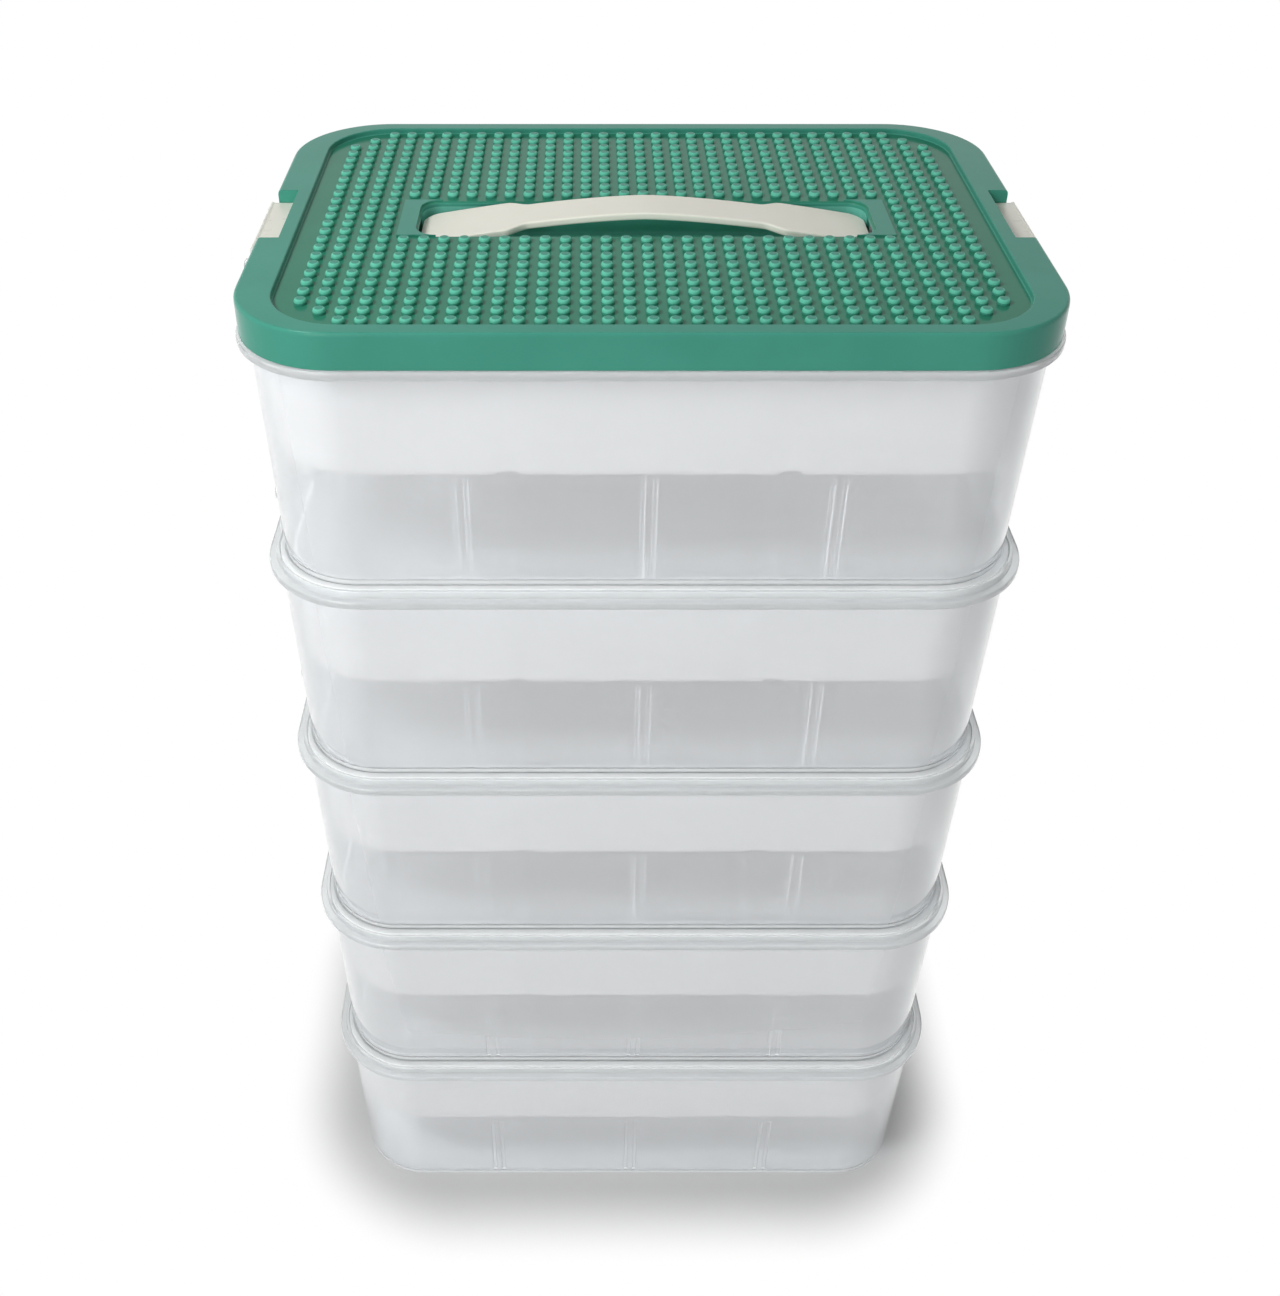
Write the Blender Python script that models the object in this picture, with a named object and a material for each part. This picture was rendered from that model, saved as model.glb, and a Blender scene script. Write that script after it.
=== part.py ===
"""Compartment storage box: clear boxes stacked five high, each with a sorting tray in its top half,
joined by side latches and closed by a studded lid with a lifting carry handle.

The frame stands on the bottom box's base: +Z is up, +X runs along the long side and the front is -Y.
All lengths are in metres."""

import math

import bmesh
import bpy

# Stack
BOX_COUNT = 5
SEAT_GAP = 0.0003  # between pieces that rest on each other
SLIDE_GAP = 0.0004  # between pieces that slide past each other

# Box: a tapered tub with a stepped rim
RIM_WIDTH = 0.310
RIM_DEPTH = 0.220
RIM_RADIUS = 0.041
BODY_HEIGHT = 0.0963  # from the base to the underside of the rim
LIP_HEIGHT = 0.0034
RIM_STEP_HEIGHT = 0.0032  # the collar that the lid's skirt goes round
LIP_WIDTH = 0.0031
COLLAR_WALL = 0.0015
BODY_TOP_INSET = 0.0046
BASE_INSET_X = 0.0070
BASE_INSET_Y = 0.0088
BASE_RADIUS = 0.034
BASE_EDGE = 0.0020
BOX_WALL = 0.0020
BOX_FLOOR = 0.0022
NEST = 0.0017  # how far a base sinks below the rim under it

# Guide ribs on the front and back walls, in pairs
RIB_PAIR_SPACING = 0.0720
RIB_SPACING = 0.0047
RIB_WIDTH = 0.0022
RIB_DEPTH = 0.0018

# Sorting tray
TRAY_LIP = 0.0018
TRAY_DEPTH = 0.0505
TRAY_WALL = 0.0015
TRAY_FLOOR = 0.0016
TRAY_TOP_INSET = 0.0084
TRAY_BASE_INSET = 0.0100
TRAY_EDGE = 0.0045
BEAD_GAP = 0.0005  # between a base and the raised bead round it
DIVIDER_OFFSET = 0.0535
DIVIDER_DROP = 0.0054  # below the tray's lip
DIVIDER_TOP = 0.0030
DIVIDER_FOOT = 0.0064
GROOVE_TOP = 0.0010
GROOVE_FOOT = 0.0036
GROOVE_HEIGHT = 0.0260
NOTCH_HEIGHT = 0.0022
MIDDLE_DIVIDER = 0.0016

# Lid
LID_INSET = 0.0012
LID_HEIGHT = 0.0147
LID_EDGE = 0.0015
SKIRT_WALL = 0.0016
LID_PLATE = 0.0020
BORDER_SIDE = 0.0145
BORDER_FRONT = 0.0070
BORDER_DROP = 0.0024
FIELD_RADIUS = 0.028

# Studs in the field, in rows and columns
STUD_PITCH = 0.0080
STUD_RADIUS = 0.0024
STUD_HEIGHT = 0.0022
STUD_MARGIN_SIDE = 0.0105  # least distance from a stud's axis to the border
STUD_MARGIN_FRONT = 0.0040
STUD_GAP = 0.0010  # least distance from a stud to the pit and its bands
STUD_SIDES = 4
CORNER_STUDS_LEFT_OUT = 2  # along each edge of the field's corners

# Pit for the handle, in the middle of the lid
PIT_END_GAP = 0.0006  # from the handle's ends
PIT_SIDE_GAP = 0.0035  # from the handle's lugs
PIT_DEPTH = 0.0160
PIT_RADIUS = 0.0080
PIT_WALL = 0.0016
BAND_REACH = 0.0077  # the smooth band past each end of the pit
BAND_SIDE = 0.0006
BAND_HEIGHT = 0.0008

# Handle
HANDLE_HALF = 0.0912
HANDLE_RISE = 0.0040  # the arch's top above the lid's border
HANDLE_SAG = 0.0108  # from the arch's top down to its ends
HANDLE_THICKNESS = 0.0030
HANDLE_EDGE = 0.0008
LUG_HALF_Y = 0.0145
ARCH_HALF_Y = 0.0100
NECK_OUTER = 0.0570
NECK_INNER = 0.0470
LUG_RADIUS = 0.0070
ARCH_POWER_SHARE = 1.5
TONGUE_HALF_Y = 0.0070
TONGUE_REACH = 0.0055
TONGUE_THICKNESS = 0.0020
LEG_LENGTH = 0.0065

# Side latches and the ears that carry them
LATCH_HALF_Y = 0.0248
LATCH_WALL_GAP = 0.0006  # from the rim's edge to the latch
LATCH_WALL = 0.0026
LATCH_PLATE = 0.0022
LATCH_RIDGE = 0.0004
LATCH_REACH = 0.0087  # how far the hook reaches inside the rim's edge
LATCH_DROP = 0.0080  # from the lid's top to the surface that the hook holds
BARREL_RADIUS = 0.0022
PIVOT_OUT = 0.0028  # from the rim's edge out to the pivot
PIVOT_UP = 0.0019  # from the rim's underside up to the pivot
PIN_RADIUS = 0.0013
PIN_GAP = 0.0004
PIN_LENGTH = 0.0032
EAR_GAP = 0.0006
EAR_WIDTH = 0.0030
EAR_WALL = 0.0013
EAR_HEIGHT = 0.0102  # above the rim's underside
EAR_ROOT = 0.0025
NOTCH_WALL_GAP = 0.0013  # behind the hook
NOTCH_STEP_OUT = 0.0055  # the hook's seat is this wide
NOTCH_STEP_DROP = 0.0025
POCKET_HEIGHT = 0.0040
BLOCK_WALL = 0.0020

# Helpers' overlap with what they join or cut
OVERRUN = 0.0010

CORNER_STEPS = 6
BARREL_STEPS = 12

CLEAR = ("clear_plastic", (0.86, 0.88, 0.90), 0.18)
WHITE = ("white_tray", (0.84, 0.84, 0.85), 0.45)
GREEN = ("green_lid", (0.055, 0.31, 0.23), 0.38)
CREAM = ("cream_handle", (0.74, 0.70, 0.60), 0.42)
BEIGE = ("beige_latch", (0.60, 0.58, 0.47), 0.40)

RIM_TOP = BODY_HEIGHT + LIP_HEIGHT + RIM_STEP_HEIGHT
TIER_PITCH = RIM_TOP - NEST
LIP_TOP = BODY_HEIGHT + LIP_HEIGHT
COLLAR_INSET = LIP_WIDTH + COLLAR_WALL
TRAY_LIP_TOP = TIER_PITCH - SEAT_GAP
TRAY_SEAT = TRAY_LIP_TOP - TRAY_LIP - SEAT_GAP
TRAY_BASE = TRAY_LIP_TOP - TRAY_DEPTH
TRAY_FLOOR_TOP = TRAY_BASE + TRAY_FLOOR
TRAY_LIP_INSET = COLLAR_INSET + SLIDE_GAP
LID_BOTTOM = LIP_TOP + SEAT_GAP
LID_TOP = LID_BOTTOM + LID_HEIGHT
LATCH_SEAT = LID_TOP - LATCH_DROP  # the height of the surfaces that the hooks hold
HALF_RIM = RIM_WIDTH / 2
PIVOT_X = HALF_RIM + PIVOT_OUT
PIVOT_Z = BODY_HEIGHT + PIVOT_UP
HOOK_TIP_X = HALF_RIM - LATCH_REACH
NOTCH_X = HOOK_TIP_X - NOTCH_WALL_GAP
POCKET_HALF_Y = LATCH_HALF_Y + SEAT_GAP
FIELD_Z = LID_TOP - BORDER_DROP
FIELD_INSET_X = LID_INSET + BORDER_SIDE
FIELD_INSET_Y = LID_INSET + BORDER_FRONT
PIT_HALF_X = HANDLE_HALF + PIT_END_GAP
PIT_HALF_Y = LUG_HALF_Y + PIT_SIDE_GAP
BAND_END_X = PIT_HALF_X + BAND_REACH


def clear_scene():
    """Remove every object of the scene."""
    for obj in list(bpy.data.objects):
        bpy.data.objects.remove(obj, do_unlink=True)


def material(look):
    """A plain plastic of this name, colour and roughness."""
    name, colour, roughness = look
    found = bpy.data.materials.get(name)
    if found:
        return found
    made = bpy.data.materials.new(name)
    made.use_nodes = True
    shader = made.node_tree.nodes["Principled BSDF"]
    shader.inputs["Base Color"].default_value = (*colour, 1)
    shader.inputs["Roughness"].default_value = roughness
    shader.inputs["Metallic"].default_value = 0
    return made


def outline(half_x, half_y, radius, z, steps=CORNER_STEPS):
    """A rounded rectangle round the Z axis at one height, counter-clockwise from above."""
    points = []
    corners = ((1, 1), (-1, 1), (-1, -1), (1, -1))
    for quarter, (side_x, side_y) in enumerate(corners):
        centre_x = side_x * (half_x - radius)
        centre_y = side_y * (half_y - radius)
        for step in range(steps + 1):
            angle = (quarter + step / steps) * math.pi / 2
            points.append((centre_x + radius * math.cos(angle), centre_y + radius * math.sin(angle), z))
    return points


def inset_outline(inset_x, inset_y, radius, z):
    """An outline measured in from the rim's edge."""
    return outline(HALF_RIM - inset_x, RIM_DEPTH / 2 - inset_y, radius, z)


def loft(rings):
    """One closed mesh through rings of as many points, capped at both ends."""
    mesh = bmesh.new()
    rows = [[mesh.verts.new(point) for point in ring] for ring in rings]
    mesh.faces.new(list(reversed(rows[0])))
    for low, high in zip(rows, rows[1:]):
        for index, corner in enumerate(low):
            following = (index + 1) % len(low)
            mesh.faces.new((corner, low[following], high[following], high[index]))
    mesh.faces.new(rows[-1])
    return mesh


def extrude_profile(profile, low_y, high_y):
    """A prism along Y of a profile of (x, z) points, turned to face outwards."""
    rings = [[(x, y, z) for x, z in profile] for y in (low_y, high_y)]
    mesh = loft(rings)
    bmesh.ops.recalc_face_normals(mesh, faces=mesh.faces)
    return mesh


def block(low, high):
    """A box between two corners."""
    (low_x, low_y, low_z), (high_x, high_y, high_z) = low, high
    profile = ((low_x, low_z), (high_x, low_z), (high_x, high_z), (low_x, high_z))
    return extrude_profile(profile, low_y, high_y)


def joined(parts):
    """One mesh of several, which keep their own shells."""
    whole = bmesh.new()
    for part in parts:
        scratch = bpy.data.meshes.new("scratch")
        part.to_mesh(scratch)
        part.free()
        whole.from_mesh(scratch)
        bpy.data.meshes.remove(scratch)
    return whole


def add_object(name, mesh, look=None):
    """Link a bmesh to the scene as one named object."""
    data = bpy.data.meshes.new(name)
    mesh.to_mesh(data)
    mesh.free()
    obj = bpy.data.objects.new(name, data)
    bpy.context.scene.collection.objects.link(obj)
    if look:
        data.materials.append(material(look))
        data.shade_smooth()
        data.set_sharp_from_angle(angle=math.radians(35))
    return obj


def helper(name, mesh):
    """A body that only joins or cuts another."""
    obj = add_object(name, mesh)
    obj.hide_render = True
    obj.display_type = "WIRE"
    return obj


def combine(obj, other, operation):
    """Join or cut an object with a helper."""
    modifier = obj.modifiers.new(operation.title(), "BOOLEAN")
    modifier.operation = operation
    modifier.solver = "EXACT"
    modifier.object = other


def settled_mesh(obj, name, look):
    """The object's mesh with its modifiers applied, for copies to share. The object itself goes."""
    bpy.context.view_layer.update()
    evaluated = obj.evaluated_get(bpy.context.evaluated_depsgraph_get())
    data = bpy.data.meshes.new_from_object(evaluated)
    data.name = name
    data.materials.clear()
    data.materials.append(material(look))
    data.shade_smooth()
    data.set_sharp_from_angle(angle=math.radians(35))
    bpy.data.objects.remove(obj, do_unlink=True)
    return data


def place(name, data, x=0, z=0, turn=0):
    """A copy that shares the mesh, on the stack's axis or at a pivot."""
    obj = bpy.data.objects.new(name, data)
    obj.location = (x, 0, z)
    obj.rotation_euler = (0, 0, turn)
    bpy.context.scene.collection.objects.link(obj)
    return obj


def side_wall_y(z):
    """How far the body's outside is from the XZ plane at this height."""
    share = z / BODY_HEIGHT
    inset = BASE_INSET_Y + (BODY_TOP_INSET - BASE_INSET_Y) * share
    return RIM_DEPTH / 2 - inset


def box_shell():
    """The tub: base, tapered wall, lip, collar, and the inside back down to the floor."""
    top_radius = RIM_RADIUS - BODY_TOP_INSET
    base_edge_radius = BASE_RADIUS - BASE_EDGE
    inner_radius = top_radius - BOX_WALL
    wall_x = BODY_TOP_INSET + BOX_WALL
    floor_x = BASE_INSET_X + BOX_WALL
    floor_y = BASE_INSET_Y + BOX_WALL
    return loft(
        [
            inset_outline(BASE_INSET_X + BASE_EDGE, BASE_INSET_Y + BASE_EDGE, base_edge_radius, 0),
            inset_outline(BASE_INSET_X, BASE_INSET_Y, BASE_RADIUS, BASE_EDGE),
            inset_outline(BODY_TOP_INSET, BODY_TOP_INSET, top_radius, BODY_HEIGHT),
            inset_outline(0, 0, RIM_RADIUS, BODY_HEIGHT),
            inset_outline(0, 0, RIM_RADIUS, LIP_TOP),
            inset_outline(LIP_WIDTH, LIP_WIDTH, RIM_RADIUS - LIP_WIDTH, LIP_TOP),
            inset_outline(LIP_WIDTH, LIP_WIDTH, RIM_RADIUS - LIP_WIDTH, RIM_TOP),
            inset_outline(COLLAR_INSET, COLLAR_INSET, RIM_RADIUS - COLLAR_INSET, RIM_TOP),
            inset_outline(COLLAR_INSET, COLLAR_INSET, RIM_RADIUS - COLLAR_INSET, TRAY_SEAT),
            inset_outline(wall_x, wall_x, inner_radius, TRAY_SEAT),
            inset_outline(floor_x, floor_y, BASE_RADIUS - BOX_WALL, BOX_FLOOR + BASE_EDGE),
            inset_outline(floor_x + BASE_EDGE, floor_y + BASE_EDGE, base_edge_radius - BOX_WALL, BOX_FLOOR),
        ]
    )


def guide_rib(x, side):
    """One slim rib up the front or back wall, sunk into the wall and the floor."""
    low_z = BOX_FLOOR / 2
    high_z = TRAY_BASE - SLIDE_GAP
    rings = []
    for z in (low_z, high_z):
        face = side_wall_y(z) - BOX_WALL
        near = face - RIB_DEPTH
        far = face + BOX_WALL / 2
        half = RIB_WIDTH / 2
        corners = ((x - half, near), (x + half, near), (x + half, far), (x - half, far))
        rings.append([(place_x, side * place_y, z) for place_x, place_y in corners])
    mesh = loft(rings)
    bmesh.ops.recalc_face_normals(mesh, faces=mesh.faces)
    return mesh


def guide_ribs():
    """The pairs of ribs at the middle and on each side of it."""
    ribs = []
    for pair in (-1, 0, 1):
        for rib in (-1, 1):
            x = pair * RIB_PAIR_SPACING + rib * RIB_SPACING / 2
            ribs += [guide_rib(x, -1), guide_rib(x, 1)]
    return ribs


def ear_profile():
    """An ear's outline in the XZ plane: rooted in the lip, clear of the lid's skirt above it."""
    root_x = HALF_RIM - EAR_ROOT
    skirt_x = HALF_RIM - LID_INSET + EAR_GAP
    reach = PIN_RADIUS + PIN_GAP + EAR_WALL
    outer_x = PIVOT_X + reach
    low_z = PIVOT_Z - reach
    top_z = BODY_HEIGHT + EAR_HEIGHT
    root_low = BODY_HEIGHT + LIP_HEIGHT / 4
    root_high = LIP_TOP - LIP_HEIGHT / 4
    return (
        (root_x, root_low),
        (HALF_RIM + EAR_GAP, low_z),
        (outer_x, low_z),
        (outer_x, PIVOT_Z + reach),
        (outer_x - reach / 2, top_z),
        (skirt_x, top_z),
        (skirt_x, root_high),
        (root_x, root_high),
    )


def mirrored(profile):
    """A profile on the other side of the YZ plane."""
    return tuple((-x, z) for x, z in profile)


def ears():
    """Two ears a side, one past each end of the latch."""
    near = LATCH_HALF_Y + EAR_GAP
    spans = ((near, near + EAR_WIDTH), (-near - EAR_WIDTH, -near))
    profiles = (ear_profile(), mirrored(ear_profile()))
    return [extrude_profile(profile, *span) for profile in profiles for span in spans]


def circle(x, z, radius, steps=BARREL_STEPS):
    """A circle of (x, z) points."""
    turns = [2 * math.pi * (step + 1 / 2) / steps for step in range(steps)]
    return [(x + radius * math.cos(turn), z + radius * math.sin(turn)) for turn in turns]


def ear_holes():
    """Cutters for the pin holes, one through both ears of each side."""
    span = LATCH_HALF_Y + EAR_GAP + EAR_WIDTH + OVERRUN
    radius = PIN_RADIUS + PIN_GAP
    return [extrude_profile(circle(side * PIVOT_X, PIVOT_Z, radius), -span, span) for side in (1, -1)]


def pocket_block(side):
    """The block inside the foot of a side wall that closes the hook's pocket."""
    inner = NOTCH_X - BLOCK_WALL
    outer = HALF_RIM - BASE_INSET_X - BOX_WALL / 2
    seat = LATCH_SEAT - TIER_PITCH
    low = (inner, -POCKET_HALF_Y - BLOCK_WALL, BOX_FLOOR / 2)
    high = (outer, POCKET_HALF_Y + BLOCK_WALL, seat + POCKET_HEIGHT + BLOCK_WALL)
    return side_block(low, high, side)


def side_block(low, high, side):
    """A box given on the +X side, or its mirror image on the other."""
    if side > 0:
        return block(low, high)
    return block((-high[0], low[1], low[2]), (-low[0], high[1], high[2]))


def pocket_cutter(side):
    """The pocket itself: the hook of the box below holds its lower face."""
    seat = LATCH_SEAT - TIER_PITCH
    low = (NOTCH_X, -POCKET_HALF_Y, seat)
    high = (HALF_RIM, POCKET_HALF_Y, seat + POCKET_HEIGHT)
    return side_block(low, high, side)


def build_box_mesh():
    """The mesh that all boxes share."""
    box = add_object("box_pattern", box_shell())
    adders = guide_ribs() + ears() + [pocket_block(side) for side in (1, -1)]
    cutters = ear_holes() + [pocket_cutter(side) for side in (1, -1)]
    added = helper("box_details", joined(adders))
    cut = helper("box_cutters", joined(cutters))
    combine(box, added, "UNION")
    combine(box, cut, "DIFFERENCE")
    data = settled_mesh(box, "box", CLEAR)
    bpy.data.objects.remove(added, do_unlink=True)
    bpy.data.objects.remove(cut, do_unlink=True)
    return data


def tray_shell():
    """The tray's tub with its stepped lip."""
    wall = TRAY_TOP_INSET
    base = TRAY_BASE_INSET
    radius = RIM_RADIUS - TRAY_TOP_INSET
    bead_x = BASE_INSET_X - BEAD_GAP
    bead_y = BASE_INSET_Y - BEAD_GAP
    bead_radius = BASE_RADIUS + BEAD_GAP
    bead_top = RIM_TOP - SEAT_GAP
    lip_low = TRAY_SEAT + SEAT_GAP
    lip_radius = RIM_RADIUS - TRAY_LIP_INSET
    inner = wall + TRAY_WALL
    floor = base + TRAY_WALL
    rings = [
        inset_outline(base + TRAY_EDGE, base + TRAY_EDGE, radius - TRAY_EDGE, TRAY_BASE),
        inset_outline(base + TRAY_EDGE / 4, base + TRAY_EDGE / 4, radius - TRAY_EDGE / 4, TRAY_BASE + TRAY_EDGE / 4),
        inset_outline(base, base, radius, TRAY_BASE + TRAY_EDGE),
        inset_outline(wall, wall, radius, lip_low),
        inset_outline(TRAY_LIP_INSET, TRAY_LIP_INSET, lip_radius, lip_low),
        inset_outline(TRAY_LIP_INSET, TRAY_LIP_INSET, lip_radius, bead_top),
        inset_outline(bead_x, bead_y, bead_radius, bead_top),
        inset_outline(bead_x, bead_y, bead_radius, TRAY_LIP_TOP),
        inset_outline(inner, inner, radius - TRAY_WALL, TRAY_LIP_TOP),
        inset_outline(floor, floor, radius - TRAY_WALL, TRAY_FLOOR_TOP + TRAY_EDGE),
        inset_outline(floor + TRAY_EDGE, floor + TRAY_EDGE, radius - TRAY_WALL - TRAY_EDGE, TRAY_FLOOR_TOP),
    ]
    return loft(rings)


def divider(x, foot, top):
    """A divider from the front wall to the back wall, tapered from its foot."""
    low_z = TRAY_BASE + TRAY_FLOOR / 2
    high_z = TRAY_LIP_TOP - DIVIDER_DROP
    rings = []
    for z, width, inset in ((low_z, foot, TRAY_BASE_INSET), (high_z, top, TRAY_TOP_INSET)):
        reach = RIM_DEPTH / 2 - inset - TRAY_WALL / 2
        if z == low_z:
            reach -= TRAY_EDGE / 2
        half = width / 2
        corners = ((x - half, -reach), (x + half, -reach), (x + half, reach), (x - half, reach))
        rings.append([(place_x, place_y, z) for place_x, place_y in corners])
    return loft(rings)


def divider_groove(x):
    """The groove under a hollow divider, which ends in a small notch in each wall's foot."""
    low_z = TRAY_BASE - OVERRUN
    reach = RIM_DEPTH / 2 - TRAY_BASE_INSET - TRAY_WALL - TRAY_EDGE
    half = GROOVE_FOOT / 2
    tip = GROOVE_TOP / 2
    profile = (
        (x - half, low_z),
        (x + half, low_z),
        (x + tip, TRAY_BASE + GROOVE_HEIGHT),
        (x - tip, TRAY_BASE + GROOVE_HEIGHT),
    )
    return extrude_profile(profile, -reach, reach)


def foot_notch(x):
    """The notch across the tray's foot under a divider."""
    reach = RIM_DEPTH / 2
    half = GROOVE_FOOT / 2
    profile = (
        (x - half, TRAY_BASE - OVERRUN),
        (x + half, TRAY_BASE - OVERRUN),
        (x + half / 2, TRAY_BASE + NOTCH_HEIGHT),
        (x - half / 2, TRAY_BASE + NOTCH_HEIGHT),
    )
    return extrude_profile(profile, -reach, reach)


def build_tray_mesh():
    """The mesh that all trays share."""
    sides = (-DIVIDER_OFFSET, DIVIDER_OFFSET)
    tray = add_object("tray_pattern", tray_shell())
    walls = [divider(x, DIVIDER_FOOT, DIVIDER_TOP) for x in sides]
    walls.append(divider(0, MIDDLE_DIVIDER, MIDDLE_DIVIDER))
    added = helper("tray_dividers", joined(walls))
    grooves = helper("tray_grooves", joined([divider_groove(x) for x in sides]))
    notches = helper("tray_notches", joined([foot_notch(x) for x in sides]))
    combine(tray, added, "UNION")
    combine(tray, grooves, "DIFFERENCE")
    combine(tray, notches, "DIFFERENCE")
    data = settled_mesh(tray, "tray", WHITE)
    for other in (added, grooves, notches):
        bpy.data.objects.remove(other, do_unlink=True)
    return data


def lid_shell():
    """The lid from the plate's underside out over the skirt and the border to the stud field."""
    skirt = LID_INSET + SKIRT_WALL
    skirt_radius = RIM_RADIUS - skirt
    outer_radius = RIM_RADIUS - LID_INSET
    under_x = FIELD_INSET_X - LID_PLATE
    under_y = FIELD_INSET_Y - LID_PLATE
    under_radius = FIELD_RADIUS + LID_PLATE
    edge = LID_EDGE
    return loft(
        [
            inset_outline(under_x, under_y, under_radius, FIELD_Z - LID_PLATE),
            inset_outline(under_x, under_y, under_radius, LID_TOP - LID_PLATE),
            inset_outline(skirt, skirt, skirt_radius, LID_TOP - LID_PLATE),
            inset_outline(skirt, skirt, skirt_radius, LID_BOTTOM),
            inset_outline(LID_INSET, LID_INSET, outer_radius, LID_BOTTOM),
            inset_outline(LID_INSET, LID_INSET, outer_radius, LID_TOP - edge),
            inset_outline(LID_INSET + edge / 4, LID_INSET + edge / 4, outer_radius - edge / 4, LID_TOP - edge / 4),
            inset_outline(LID_INSET + edge, LID_INSET + edge, outer_radius - edge, LID_TOP),
            inset_outline(FIELD_INSET_X, FIELD_INSET_Y, FIELD_RADIUS, LID_TOP),
            inset_outline(FIELD_INSET_X, FIELD_INSET_Y, FIELD_RADIUS, FIELD_Z),
        ]
    )


def stud_places():
    """The axes of the studs: a full grid but for the corners and the handle's pit."""
    columns = math.floor((HALF_RIM - FIELD_INSET_X - STUD_MARGIN_SIDE) / STUD_PITCH)
    rows = math.floor((RIM_DEPTH / 2 - FIELD_INSET_Y - STUD_MARGIN_FRONT) / STUD_PITCH)
    clear_x = BAND_END_X + STUD_GAP + STUD_RADIUS
    clear_y = PIT_HALF_Y + BAND_SIDE + STUD_GAP + STUD_RADIUS
    places = []
    for row in range(-rows, rows + 1):
        for column in range(-columns, columns + 1):
            x = column * STUD_PITCH
            y = row * STUD_PITCH
            from_corner = columns - abs(column) + rows - abs(row)
            over_pit = abs(x) < clear_x and abs(y) < clear_y
            if from_corner >= CORNER_STUDS_LEFT_OUT and not over_pit:
                places.append((x, y))
    return places


def stud(x, y):
    """One stud with flat sides, of a round stud's area, rooted in the plate."""
    turn = 2 * math.pi / STUD_SIDES
    radius = STUD_RADIUS * math.sqrt(2 * math.pi / (STUD_SIDES * math.sin(turn)))
    rings = []
    for z in (FIELD_Z - LID_PLATE / 4, FIELD_Z + STUD_HEIGHT):
        turns = [turn * (side + 1 / 2) for side in range(STUD_SIDES)]
        rings.append([(x + radius * math.cos(angle), y + radius * math.sin(angle), z) for angle in turns])
    return loft(rings)


def pit_band(side):
    """The smooth raised band past one end of the pit."""
    low = (PIT_HALF_X - PIT_RADIUS, -PIT_HALF_Y - BAND_SIDE, FIELD_Z - LID_PLATE / 2)
    high = (BAND_END_X, PIT_HALF_Y + BAND_SIDE, FIELD_Z + BAND_HEIGHT)
    return side_block(low, high, side)


def pit_tub():
    """The solid that the handle's pit is cut from."""
    half_x = PIT_HALF_X + PIT_WALL
    half_y = PIT_HALF_Y + PIT_WALL
    low_z = LID_TOP - PIT_DEPTH - LID_PLATE
    high_z = FIELD_Z - LID_PLATE / 2
    radius = PIT_RADIUS + PIT_WALL
    return loft([outline(half_x, half_y, radius, z) for z in (low_z, high_z)])


def pit_cutter():
    """The pit's hollow."""
    heights = (LID_TOP - PIT_DEPTH, LID_TOP + OVERRUN)
    return loft([outline(PIT_HALF_X, PIT_HALF_Y, PIT_RADIUS, z) for z in heights])


def tongue_window(side):
    """The window in the pit's end wall that a tongue of the handle goes through."""
    low = (PIT_HALF_X - OVERRUN, -TONGUE_HALF_Y - SLIDE_GAP, LID_TOP - PIT_DEPTH)
    high = (
        PIT_HALF_X + PIT_WALL + OVERRUN,
        TONGUE_HALF_Y + SLIDE_GAP,
        FIELD_Z - LID_PLATE,
    )
    return side_block(low, high, side)


def notch_block(side):
    """The solid under the border that a latch's notch is cut from."""
    low = (NOTCH_X - BLOCK_WALL, -POCKET_HALF_Y - BLOCK_WALL, RIM_TOP + SEAT_GAP)
    high = (
        HALF_RIM - LID_INSET - SKIRT_WALL / 2,
        POCKET_HALF_Y + BLOCK_WALL,
        LID_TOP - LID_PLATE / 2,
    )
    return side_block(low, high, side)


def notch_cutters(side):
    """The notch over the hook's seat, and the lower step outside it."""
    outer = HALF_RIM + OVERRUN
    high_z = LID_TOP + OVERRUN
    inner_low = (NOTCH_X, -POCKET_HALF_Y, LATCH_SEAT)
    step_low = (NOTCH_X + NOTCH_STEP_OUT, -POCKET_HALF_Y, LATCH_SEAT - NOTCH_STEP_DROP)
    return [
        side_block(inner_low, (outer, POCKET_HALF_Y, high_z), side),
        side_block(step_low, (outer + OVERRUN, POCKET_HALF_Y, high_z + OVERRUN), side),
    ]


def build_lid():
    """The lid, in place on the top box."""
    sides = (1, -1)
    lid = add_object("lid", lid_shell(), GREEN)
    blocks = helper("lid_blocks", joined([pit_tub(), *[notch_block(side) for side in sides]]))
    raised = [stud(x, y) for x, y in stud_places()] + [pit_band(side) for side in sides]
    studs = helper("lid_studs", joined(raised))
    seats = helper("lid_seat_cutters", joined([pit_cutter(), *[notch_cutters(side)[0] for side in sides]]))
    lower_cuts = [notch_cutters(side)[1] for side in sides] + [tongue_window(side) for side in sides]
    steps = helper("lid_step_cutters", joined(lower_cuts))
    combine(lid, blocks, "UNION")
    combine(lid, studs, "UNION")
    combine(lid, seats, "DIFFERENCE")
    combine(lid, steps, "DIFFERENCE")
    lift = (BOX_COUNT - 1) * TIER_PITCH
    for obj in (lid, blocks, studs, seats, steps):
        obj.location.z = lift
    return lid


def handle_height(x):
    """The top of the strap at this place along it, measured from the lid's top."""
    share = abs(x) / HANDLE_HALF
    return HANDLE_RISE - HANDLE_SAG * share**ARCH_POWER_SHARE


def handle_half_width(x):
    """Half the strap's width: narrow along the arch, wide at its lugs, rounded at its ends."""
    distance = abs(x)
    end = HANDLE_HALF - distance
    if end < LUG_RADIUS:
        corner = LUG_RADIUS - end
        return LUG_HALF_Y - LUG_RADIUS + math.sqrt(max(LUG_RADIUS**2 - corner**2, 0))
    if distance >= NECK_OUTER:
        return LUG_HALF_Y
    if distance <= NECK_INNER:
        return ARCH_HALF_Y
    share = (distance - NECK_INNER) / (NECK_OUTER - NECK_INNER)
    blend = share * share * (3 - 2 * share)
    return ARCH_HALF_Y + (LUG_HALF_Y - ARCH_HALF_Y) * blend


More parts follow.
